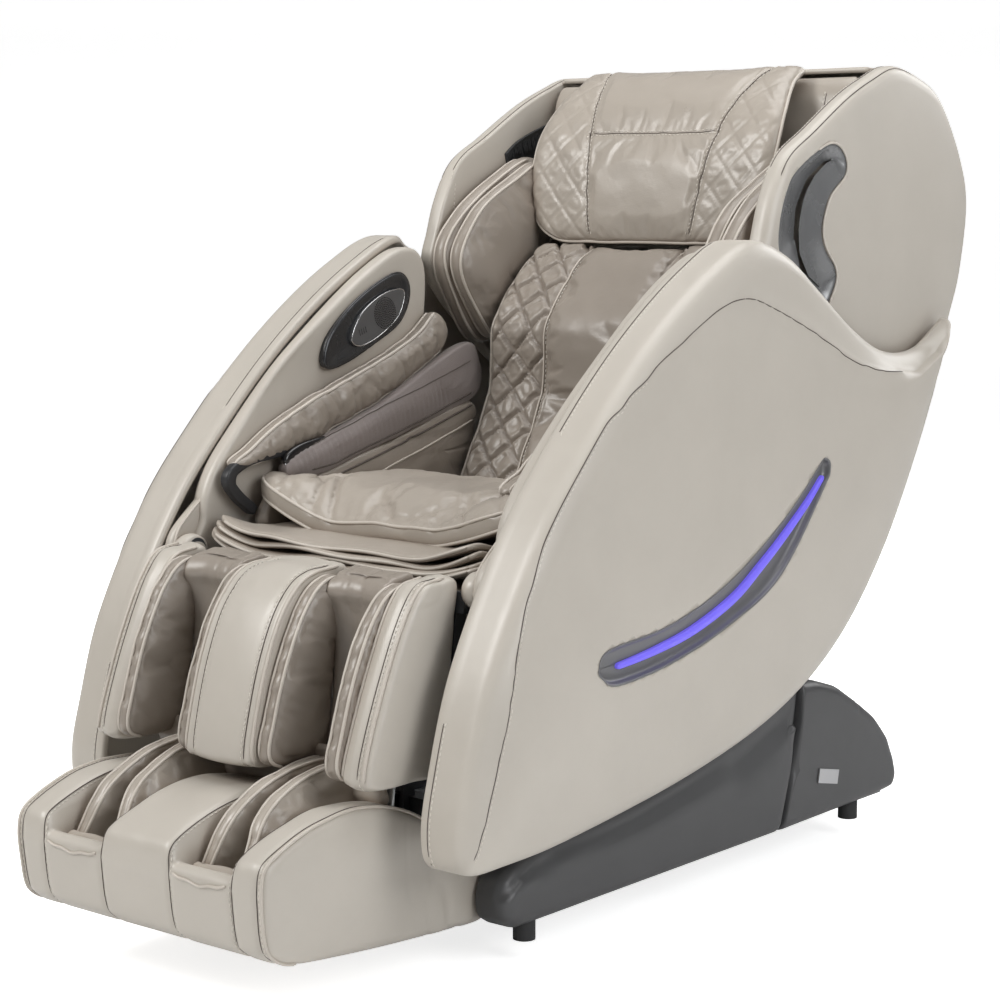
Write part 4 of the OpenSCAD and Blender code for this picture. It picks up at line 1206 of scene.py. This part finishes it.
SPEAKER = smoothed(curve([[-127, 724], [-116, 760], [-74, 800], [-16, 834], [38, 852], [62, 836], [61, 806],
                          [38, 774], [-16, 747], [-70, 724], [-112, 714]], 3, True), 4)
EYE = curve([[-69, 757], [-48, 792], [-5, 818], [36, 827], [48, 818], [33, 785], [-11, 757], [-52, 745]], 3,
            True)


def arm_shell(side):
    """The arm's leather side and the nose at its front."""
    ob = pad("arm", side, ARM_LINE, [[-290, 500], [-180, 620], [20, 780]],
             cushion_stations(264, 292, 9, 3, 0, 0, inner=14, across=4), LEATHER, "seat", node="arm_rests")
    c, n = co(ob), normals(ob)
    into = np.clip(-n[:, 0] * side, 0, 1)
    hollow = 9 * np.exp(-(((c[:, 1] + 150) / 120) ** 2 + ((c[:, 2] - 700) / 70) ** 2))
    set_co(ob, c - n * (into * hollow)[:, None] + n * (0.9 * noise(c, 70, 3))[:, None])
    nose = curve([[-420, 474], [-408, 504], [-362, 543], [-344, 556], [-330, 520], [-328, 460], [-372, 452],
                  [-412, 456]], 4, True)
    fore = pad("arm_front", side, nose, [[-390, 480], [-350, 510]],
               cushion_stations(274, 291, 6, 1, 0, inner=6, across=3), LEATHER, "seat")
    edge = curve([[-416, 470], [-404, 504], [-362, 541], [-340, 560]], 4)
    piped(mirrored(flat_x(edge, 276), side), skin(fore), 0.5, "seat", 2.2)


def arm_pad(side):
    cushion = pad("arm_pad", side, ARM_PAD, [[-290, 600], [-171, 638], [0, 706], [96, 760]],
                  cushion_stations(236, 262, 6, 6, 0, 2, inner=8, across=5), BAG_PAINTED_SHADE, "seat", node="arm_pads")
    c, n = co(cushion), normals(cushion)
    along = c[:, 1] * 0.86 + c[:, 2] * 0.5
    p = np.column_stack([along, c[:, 2] * 0.86 - c[:, 1] * 0.5, c[:, 0]])
    set_co(cushion, c + n * (3.0 * creases(p, (17, 120, 200), 5) + 1.8 * noise(p, (34, 60, 60), 3))[:, None])

    def sew(tree):
        top = part_of(ARM_PAD, lambda o: (o[:, 1] > 589 + 0.44 * (o[:, 0] + 304)) & (o[:, 0] < 112))
        for x, r in ((241, 2.6), (258, 2.0)):
            piped(mirrored(flat_x(top[2:-2], x), side), tree, 0.8, "seat", r, smooth=8)
        low = part_of(ARM_PAD, lambda o: (o[:, 1] < 588 + 0.44 * (o[:, 0] + 304)) & (o[:, 0] < 118))
        piped(mirrored(flat_x(low[1:-1], 240), side), tree, 0.4, "seat", 1.4, smooth=8)

    soften(cushion, lambda c: away_edge(c, ARM_PAD) < 5, cap=6, slack=0.04, after=sew)


def forearm_line(side, x, rise):
    """A line along the arm at a height above the low edge of the forearm's airbag."""
    y = np.linspace(-190, 166, 80)
    return mirrored(np.column_stack([np.full(80, x), y, np.interp(y, *FOREARM_LOW) + rise]), side)


def forearm_airbag(side):
    """Ribbed fabric airbag above the forearm."""
    cloth = pad("forearm_airbag", side, FOREARM, [[-210, 580], [-100, 614], [90, 676]],
                cushion_stations(224, 244, 6, 4, 0, 1, inner=12, across=4), CLOTH, "seat",
                node="forearm_airbags")
    c, n = co(cloth), normals(cloth)
    low_line = np.interp(c[:, 1], *FOREARM_LOW)
    band = np.clip(1 - np.abs(c[:, 2] - low_line - 34) / 26, 0, 1)
    ribs = band * 2.0 * np.abs(np.sin((c[:, 1] + 0.3 * c[:, 2]) / 3.6))
    set_co(cloth, c + n * (ribs + 1.6 * noise(c, (50, 50, 30), 7))[:, None])
    tree = skin(cloth)
    # dark tubes along the airbag: painted shade of its seams
    for rise, r in ((58, 0.8), (8, 1.4)):
        add(SEAM_SHADE_LINES, "seat", *tube(snapped(forearm_line(side, 222, rise), tree, 0.2)[0], r))


def hip_pad(side):
    """Padded inner wall beside the hip, with a dark tube painting the shade of a seam line, and a cord along
    it.
    """
    hip = pad("hip_pad", side, HIP, [[-220, 530], [0, 556], [90, 580]],
              cushion_stations(220, 246, 8, 5, 0, 2, inner=10, across=4), BAG_PAINTED_SHADE, "seat")
    swell(hip, lambda c, n: 2.4 * noise(c, (60, 70, 26), 4) + 2.2 * creases(c, (60, 120, 22), 6))
    tree = skin(hip)
    # dark tube along the seam line: painted shade
    add(SEAM_SHADE_LINES, "seat", *tube(snapped(forearm_line(side, 218, -10), tree, 0.3)[0], 1.6))
    piped(forearm_line(side, 218, -34), tree, 0.3, "seat", 1.6)


def speaker(side):
    """Speaker in the arm: shell, plate, rim, bright line, round hole pattern and four slots."""
    xs = 262.0
    pad("speaker_shell", side, SPEAKER, [[-90, 742], [-20, 786], [40, 826]],
        [(xs + 6, 0.5, 0), (xs - 2, 0, 0), (xs - 4, 1.2, 0), (xs - 5, 3.4, 0), (xs - 4.6, 7, 0),
         (xs - 3, 7, 0.3), (xs - 1.5, 7, 0.6), (xs - 1, 7, 1)], METAL_GREY, "seat", node="speakers")
    pad("speaker_plate", side, EYE, [[-50, 762], [0, 790], [36, 814]],
        [(xs + 2, 0, 0), (xs - 5.5, 0, 0), (xs - 6.6, 1.4, 0), (xs - 6.8, 4, 0), (xs - 6.2, 4, 0.5),
         (xs - 6.0, 4, 1)], GRILLE, "seat")
    rim = smoothed(even(SPEAKER, 3, True), 2)
    v, f = tube(mirrored(flat_x(rim, xs - 2.2), side), 1.5, True)
    build("speaker_rim_" + tag(side), v, f, GLOSS, "seat")
    v, f = tube(mirrored(flat_x(even(EYE, 3, True), xs - 6.2), side), 0.9, True)
    build("speaker_line_" + tag(side), v, f, CHROME, "seat")
    dots = []
    k = np.arange(6) * math.pi / 3
    for ring in range(8):
        r = 3.3 * ring
        for i in range(max(1, 6 * ring)):
            a = 2 * math.pi * i / max(1, 6 * ring) + 0.3 * ring
            y0, z0 = 4 + r * math.cos(a), 792 + r * math.sin(a)
            dots.append((np.column_stack([np.full(6, xs - 7.1), y0 + 1.25 * np.cos(k),
                                          z0 + 1.25 * np.sin(k)]),
                         np.array([[0, 1, 2, 3], [0, 3, 4, 5]])))
    for i in range(4):
        p = np.array([-50 + 4.5 * i, 760 + 1.5 * i])
        dots.append(tube([[xs - 6.6, *p], [xs - 6.6, p[0] - 3.5, p[1] + 9]], 1.0))
    v, f = merge(dots)
    build("speaker_holes_" + tag(side), mirrored(v, side), f, GLOSS, "seat")


for side in (1, -1):
    arm_shell(side)
    arm_pad(side)
    forearm_airbag(side)
    hip_pad(side)
    speaker(side)


def control_strip(side):
    """Black plastic strip along the front of the arm, which carries the glossy control pod."""
    way = curve([[-196, 604], [-250, 602], [-304, 594], [-338, 574], [-322, 548], [-288, 522]], 3)
    band = np.vstack([offset(way, 8), offset(way, -8)[::-1]])
    pad("control_strip", side, smoothed(even(band, 3, True), 3), way[3:-3:6],
        cushion_stations(237, 252, 3, 1, 1, 0, inner=3, around=4, across=3), GRIP, "seat")


control_strip(-1)


def pod():
    """Control pod on the right arm, round its two buttons."""
    k = np.linspace(0, 2 * math.pi, 96, endpoint=False)
    turn = math.radians(8)
    y0, z0 = -177, 598
    cos, sin = math.cos(turn), math.sin(turn)
    a = 62.5 * np.sign(np.cos(k)) * np.abs(np.cos(k)) ** 0.85
    b = 19.5 * np.sign(np.sin(k)) * np.abs(np.sin(k)) ** 0.95
    line = np.column_stack([y0 + a * cos - b * sin, z0 + a * sin + b * cos])
    spine = [[y0 - 42 * cos, z0 - 42 * sin], [y0 + 42 * cos, z0 + 42 * sin]]
    v, f = lens(line, spine, [(240, 3, 1), (240, 3, 0), (238, 0.6, 0), (233, 0, 0), (229.5, 0.6, 0),
                              (228, 2.2, 0), (227.4, 5, 0), (227.2, 5, 0.5), (227.2, 5, 1)])
    build("control_pod_shell", mirrored(v, -1), f, GLOSS, "seat", stands=("control_pod",))
    v, f = tube(mirrored(flat_x(line[50:94], 230), -1), 1.7)
    build("control_pod_rim", v, f, CHROME, "seat")


pod()

# ---------------------------------------------------------------- back pad, pillow, shoulder airbags

LEAN = math.radians(30)
PAD_FRONT = spline([[-80, 48], [-97, 66], [-101, 120], [-101, 175], [-111, 240], [-138, 290], [-149, 318],
                    [-145, 362], [-131, 422], [-112, 462], [-88, 478]], 8)


def on_back(v):
    """From the back's own frame, whose Z runs up the back, to the chair's."""
    y, z = v[:, 1], v[:, 2]
    return np.column_stack([v[:, 0], 160 + y * math.cos(LEAN) + z * math.sin(LEAN),
                            420 - y * math.sin(LEAN) + z * math.cos(LEAN)])


def quilt(x, s, across, along):
    """Depth of a diamond quilt, 1 on its lines and 0 in the middle of a diamond."""
    u, w = x / across + s / along, x / across - s / along
    near = np.minimum(np.abs(u - np.round(u)), np.abs(w - np.round(w)))
    return np.exp(-((near / 0.075) ** 2))


def sheet(front, half, edge, step):
    """Grid of a padded sheet along a front line: line, lengths, normals, x, way to the edge, puff."""
    line = even(front, step)
    s = lengths(line)
    t = np.gradient(line, axis=0)
    t /= np.linalg.norm(t, axis=1, keepdims=True)
    n = np.column_stack([t[:, 1], -t[:, 0]])
    n = -n if n[10, 0] > 0 else n
    cols = int(round(2 * max(half(q) for q in s / s[-1]) / step)) + 1
    u = np.linspace(-1, 1, cols)
    x = np.array([u * half(q) for q in s / s[-1]])
    far = np.minimum(np.minimum((1 - np.abs(u))[None, :] * x.max(1)[:, None], s[:, None]),
                     (s[-1] - s)[:, None])
    puff = (1 - (1 - np.clip(far / edge, 0, 1)) ** 2) ** 0.5
    return line, s, n, x, far, puff


def pad_mesh(line, n, x, front, rear):
    """Closed pad on a sheet's grid, from its front face to its rear face."""
    rows, cols = x.shape
    v = np.vstack([np.dstack([x, line[:, :1] + n[:, :1] * out, line[:, 1:] + n[:, 1:] * out]).reshape(-1, 3)
                   for out in (front, -rear)])
    i, j = np.meshgrid(np.arange(rows - 1), np.arange(cols - 1), indexing="ij")
    q = (i * cols + j).ravel()
    top = np.column_stack([q, q + 1, q + cols + 1, q + cols])
    m = rows * cols
    faces = [top, top[:, ::-1] + m]
    r = np.arange(rows - 1) * cols
    c = np.arange(cols - 1)
    e = (rows - 1) * cols + c
    for side in ((r, r + cols, r + cols + m, r + m), (r + cols - 1, r + cols - 1 + m, r + 2 * cols - 1 + m,
                 r + 2 * cols - 1), (c, c + m, c + 1 + m, c + 1), (e, e + 1, e + 1 + m, e + m)):
        faces.append(np.column_stack(side))
    return v, np.vstack(faces)


def back_cushion():
    def half(q):
        return 200 - 10 * max(0, 1 - q / 0.06) ** 2 - 14 * max(0, (q - 0.9) / 0.1) ** 2

    line, s, n, x, far, puff = sheet(PAD_FRONT, half, 30, 3.6)
    total = s[-1]
    S = np.repeat(s[:, None], x.shape[1], 1)
    strip = np.clip((np.abs(x) - 86) / 6, 0, 1)
    lines = quilt(np.abs(x) - 88, S, 56, 62) * strip
    valley = np.exp(-(((np.abs(x) - 88) / 6) ** 2))
    front = 16 * puff - 8 + 7 * strip * (1 - lines) * np.clip(far / 18, 0, 1) - 4.5 * valley - 2.5 * lines
    rear = 30 * np.clip(puff, 0.12, 1)
    v, f = pad_mesh(line, n, x, front, rear)
    ob = build("back_cushion", on_back(v), f, BAG_PAINTED_SHADE, "back", stands=("back_pad",))
    swell(ob, lambda c, n: 1.3 * noise(c, (26, 30, 30), 5))
    lock = np.concatenate([(lines > 0.45).ravel() | (valley > 0.5).ravel() | (far < 5).ravel(),
                           np.ones(x.size, bool)])
    to_held = distance_to(on_back(v)[lock])

    def sew(t):
        for side in (1, -1):
            edge = np.column_stack([side * np.array([half(q) - 1.5 for q in s / total]), line + n * 0])
            piped(on_back(edge), t, 1.0, "back", 2.6, smooth=8)
            mid = np.column_stack([np.full(len(line), 88.0 * side), line + n * 8])
            path = snapped(on_back(mid), t, 0.3)[0]
            piping(path, "back", 1.5, smooth=6)
            stitches(path, t, "back", 4 * side)
        low = np.column_stack([np.linspace(-186, 186, 100), np.full(100, line[1, 0]),
                               np.full(100, line[1, 1])])
        piped(on_back(low), t, 1.0, "back", 2.4)

    soften(ob, lambda p: to_held(p) < HELD_REACH, cap=8, pressure=6, slack=0.06,
           after=sew, voxel=0)


back_cushion()

PILLOW_FRONT = spline([[304, 896], [310, 940], [318, 985], [326, 1018], [338, 1050], [356, 1082],
                       [378, 1108], [408, 1134], [430, 1148], [452, 1156]], 8)


def pillow_seam(q):
    """Half the width of the pillow's middle panel at a share q of its height."""
    return np.where(q < 0.5, 95 + 22 * q / 0.5, 117 + 40 * (q - 0.5) / 0.5)


def head_pillow():
    def half(q):
        low = 26 * math.exp(-q / 0.045)
        return 203 + 24 * math.sin(math.pi * min(1, q / 0.86)) - low * 2.2 - 6 * max(0, (q - 0.9) / 0.1)

    line, s, n, x, far, puff = sheet(PILLOW_FRONT, half, 26, 3.6)
    total = s[-1]
    S = np.repeat(s[:, None], x.shape[1], 1)
    q = S / total
    seam_x = pillow_seam(q)
    outside = np.clip((np.abs(x) - seam_x) / 6, 0, 1)
    lines = quilt(np.abs(x) - 100, S, 50, 54) * outside
    valley = np.exp(-(((np.abs(x) - seam_x) / 4.5) ** 2))
    cross = np.exp(-(((S - 0.52 * total) / 4.5) ** 2)) * (1 - outside)
    front = 15 * puff - 2.6 * valley - 1.6 * lines - 2.2 * cross - 3
    rear = np.clip(14 * puff, 3, 14)
    v, f = pad_mesh(line, n, x, front, rear)
    ob = build("head_pillow", v, f, CRUSHED_PAINTED_SHADE, "head_pillow", stands=("pillow",))
    swell(ob, lambda c, n: noise(c, (40, 40, 30), 8))
    lock = np.concatenate([(lines > 0.6).ravel() | (valley > 0.5).ravel() | (cross > 0.5).ravel()
                           | (far < 4).ravel(), np.ones(x.size, bool)])
    to_held = distance_to(v[lock])

    def sew(t):
        halves = np.array([half(k) for k in s / total])
        right = np.column_stack([halves - 1, line])
        left = right * [-1, 1, 1]
        low = np.column_stack([np.linspace(-halves[0], halves[0], 70)[1:-1], np.tile(line[0], (68, 1))])
        top = np.column_stack([np.linspace(halves[-1], -halves[-1], 90)[1:-1], np.tile(line[-1], (88, 1))])
        loop = even(np.vstack([low, right, top, left[::-1]]), 4, True)
        piped(loop, t, 1.0, "head_pillow", 2.6, True, 8)
        sx = pillow_seam(s / total)
        k = int(0.52 * len(line))
        wide = np.linspace(-sx[k] + 4, sx[k] - 4, 60)
        for way in (*(np.column_stack([side * sx, line + n * 14])[3:-3] for side in (1, -1)),
                    np.column_stack([wide, np.tile(line[k] + n[k] * 14, (60, 1))])):
            path = smoothed(snapped(way, t, 0.1)[0], 3, False)
            # dark tube along the seam: painted shade
            add(SEAM_SHADE_LINES, "head_pillow", *tube(path, 0.6))
            for offset in (3.4, -3.4):
                stitches(path, t, "head_pillow", offset)

    soften(ob, lambda p: to_held(p) < HELD_REACH, cap=4, pressure=2, slack=0.012,
           after=sew, voxel=0)


head_pillow()

SHOULDER = curve([[206, 752], [160, 815], [140, 851], [140, 884], [164, 920], [215, 964], [290, 1004],
                  [345, 1026], [386, 1014], [398, 968], [382, 915], [334, 840], [270, 756], [236, 738]], 5,
                 True)


def shoulder_bag(side, near, far, shrink):
    way = smoothed(SHOULDER, 4)
    centre = np.array([250, 890])
    way = centre + (way - centre) * shrink
    v, f = lens(way, [[200, 830], [248, 885], [326, 960]],
                cushion_stations(near, far, 6, 8, 3, 3, inner=14, around=4,
                                                                          across=5))
    kind = "inner" if near < 240 else "outer"
    ob = build(f"shoulder_bag_{tag(side)}_{kind}", mirrored(v, side), f, BAG_PAINTED_SHADE, "back",
               stands=("shoulder_airbags",) if side > 0 and kind == "inner" else ())
    swell(ob, lambda c, n: 1.8 * noise(c, (60, 46, 46), near % 9)
          + np.clip(1 - np.abs(n[:, 0]) * 1.3, 0, 1) * 1.6 * noise(c, (80, 16, 16), 3))

    def sew(t):
        front = part_of(way, lambda o: o[:, 0] + 0.2 * (o[:, 1] - 900) < 372)
        for x in (near + 1.5, far - 1.5):
            wave = front.copy()
            wave[:, 0] += 3.2 * np.sin(np.arange(len(front)) / 5.2 + near)
            piped(mirrored(flat_x(wave, x), side), t, 0.9, "back", 2.3, smooth=6)

    soften(ob, lambda p: away_edge(p, way) < 6, cap=8, after=sew)


for side in (1, -1):
    shoulder_bag(side, 224, 247, 0.955)
    shoulder_bag(side, 252, 278, 1.0)

# ---------------------------------------------------------------- base covers

COVER = smoothed(even([[-338, 24], [-364, 40], [-368, 68], [-358, 92], [-338, 106], [-286, 126],
                       [-180, 136], [-78, 146], [40, 166], [166, 194], [297, 239], [334, 243], [331, 190],
                       [307, 100], [282, 24]], 4, True), 3)
COVER_SPINE = [[-320, 66], [-100, 84], [120, 110], [290, 170]]
REAR = smoothed(even([[284, 24], [309, 100], [333, 190], [336, 243], [380, 240], [440, 222], [498, 190],
                      [550, 158], [591, 119], [612, 80], [620, 49], [612, 32], [564, 27]], 4, True), 4)


def side_cover(side):
    st = [(234, 5, 0), (234, 1, 0), (236, 0, 0)] + [(x, 0, 0) for x in (244, 252, 260, 266)]
    st += [(272, 0.8, 0), (277, 2.8, 0), (281, 6.2, 0), (283.6, 10.5, 0), (285.0, 16, 0), (285.4, 16, 0.12),
           (285.4, 16, 0.3), (285.4, 16, 0.6), (285.4, 16, 1)]
    ob = pad("base_cover", side, COVER, COVER_SPINE, st, CHARCOAL, "base", node="side_covers")
    c = co(ob)
    shelf = np.interp(c[:, 1], [-370, -330, -250, -100, 60, 200, 320], [60, 84, 98, 108, 124, 146, 176])
    above = ease((c[:, 2] - shelf) / 7)
    outer = ease((np.abs(c[:, 0]) - 262) / 12)
    c[:, 0] -= side * above * outer * 7
    set_co(ob, c)


def rear_block():
    spine = [[330, 110], [430, 120], [560, 80]]
    st = [(-286 + a, d, t) for a, d, t in ((0.4, 16, 1), (0.4, 16, 0.6), (0.4, 16, 0.3), (0.4, 16, 0.1),
                                           (0.5, 16, 0), (1.4, 10.5, 0), (4, 6, 0), (8, 2.8, 0),
                                           (13, 0.8, 0), (19, 0, 0))]
    st += [(x, 0, 0) for x in np.linspace(-240, 240, 25)]
    st += [(-a, b, c) for a, b, c in st[:10][::-1]]
    v, f = lens(REAR, spine, st)
    ob = build("base_rear_cover", v, f, CHARCOAL, "base", stands=("rear_cover",))
    swell(ob, lambda c, n: -1.5 * np.exp(-(((c[:, 1] - 500) / 3.0) ** 2)) * (n[:, 2] > 0.2))


for side in (1, -1):
    side_cover(side)
rear_block()

# ---------------------------------------------------------------- cloth run and sewing

run_cloth()
# the seam lines are dark tubes of painted shade
for store, prefix, finish, slot in ((PIPES, "piping", CORD, "leather"),
                                    (THREADS, "stitching", THREAD, "leather"),
                                    (SEAM_SHADE_LINES, "painted_seam_shade_lines", PAINTED_SEAM_SHADE, "leather")):
    for body, parts in store.items():
        v, f = merge(parts)
        build(f"{prefix}_{body}", v, f, finish, body, weld=0.001)

# ---------------------------------------------------------------- stage, light and camera

PAPER_GLOW = 0.75
WORLD_LIGHT = 0.20
CAMERA_AT = (2.1741, -2.6585, 0.9631)  # metres, solved from the photo
CAMERA_PITCH, CAMERA_TURN = 82.8, 39.63
CAMERA_LENS = 85.97
scene.view_settings.view_transform = "Standard"


def paper():
    """Pale studio paper that reads almost white to the camera without flooding the chair with light."""
    m = material("studio_paper", (0.93, 0.93, 0.93), 0.9, vary=0.004, patch=0.6,
                 bumps=(("noise", 8, 0.4, 0.02),))
    nodes, links = m.node_tree.nodes, m.node_tree.links
    bsdf = next(n for n in nodes if n.type == "BSDF_PRINCIPLED")
    ray = nodes.new("ShaderNodeLightPath")
    gain = nodes.new("ShaderNodeMath")
    gain.operation = "MULTIPLY"
    gain.inputs[1].default_value = PAPER_GLOW
    links.new(ray.outputs["Is Camera Ray"], gain.inputs[0])
    links.new(gain.outputs[0], bsdf.inputs["Emission Strength"])
    bsdf.inputs["Emission Color"].default_value = (1, 1, 1, 1)
    return m


def backdrop():
    """A pale floor that curves up far behind the chair."""
    p = spline([(-14, 0), (6, 0), (9, 0.4), (11, 1.6), (12, 4), (12, 16)], 8)
    turn = math.radians(39.6)
    rows = []
    for x in (-16.0, 16.0):
        rows.append([(x * math.cos(turn) - y * math.sin(turn), x * math.sin(turn) + y * math.cos(turn),
                      z - 0.0005)
                     for y, z in p])
    v = np.array(rows).reshape(-1, 3)
    n = len(p)
    faces = [(i, i + 1, n + i + 1, n + i) for i in range(n - 1)]
    me = bpy.data.meshes.new("studio_floor")
    me.from_pydata(v.tolist(), [], faces)
    shade_smooth(me)
    me.materials.append(paper())
    ob = bpy.data.objects.new("studio_floor", me)
    scene.collection.objects.link(ob)


def lamp(name, at, aim, size, power, tint=(1, 1, 1)):
    """A soft rectangular lamp, in metres and watts."""
    data = bpy.data.lights.new(name, "AREA")
    data.shape = "RECTANGLE"
    data.size, data.size_y = size
    data.energy = power
    data.color = tint
    ob = bpy.data.objects.new(name, data)
    ob.location = at
    ob.visible_camera = False
    ob.rotation_euler = (Vector(aim) - Vector(at)).to_track_quat("-Z", "Y").to_euler()
    scene.collection.objects.link(ob)


backdrop()
lamp("key", (-1.6, -3.4, 3.4), (0, -0.1, 0.5), (1.8, 1.8), 135, (1.0, 0.99, 0.97))
lamp("fill", (4.0, -0.6, 2.4), (0, 0, 0.6), (2.0, 2.6), 84, (0.98, 0.99, 1.0))
lamp("top", (0.3, 0.4, 3.6), (0, 0, 0.5), (2.4, 2.4), 60)
lamp("rim", (1.0, 4.0, 2.6), (0, 0.2, 0.8), (2.0, 2.0), 50)
world = bpy.data.worlds.new("studio")
world.use_nodes = True
world.node_tree.nodes["Background"].inputs["Color"].default_value = (1, 1, 1, 1)
world.node_tree.nodes["Background"].inputs["Strength"].default_value = WORLD_LIGHT
scene.world = world

view = bpy.data.cameras.new("camera")
view.lens = CAMERA_LENS
view.sensor_width = 36
camera = bpy.data.objects.new("camera", view)
camera.location = CAMERA_AT
camera.rotation_euler = (math.radians(CAMERA_PITCH), 0, math.radians(CAMERA_TURN))
scene.collection.objects.link(camera)
scene.camera = camera
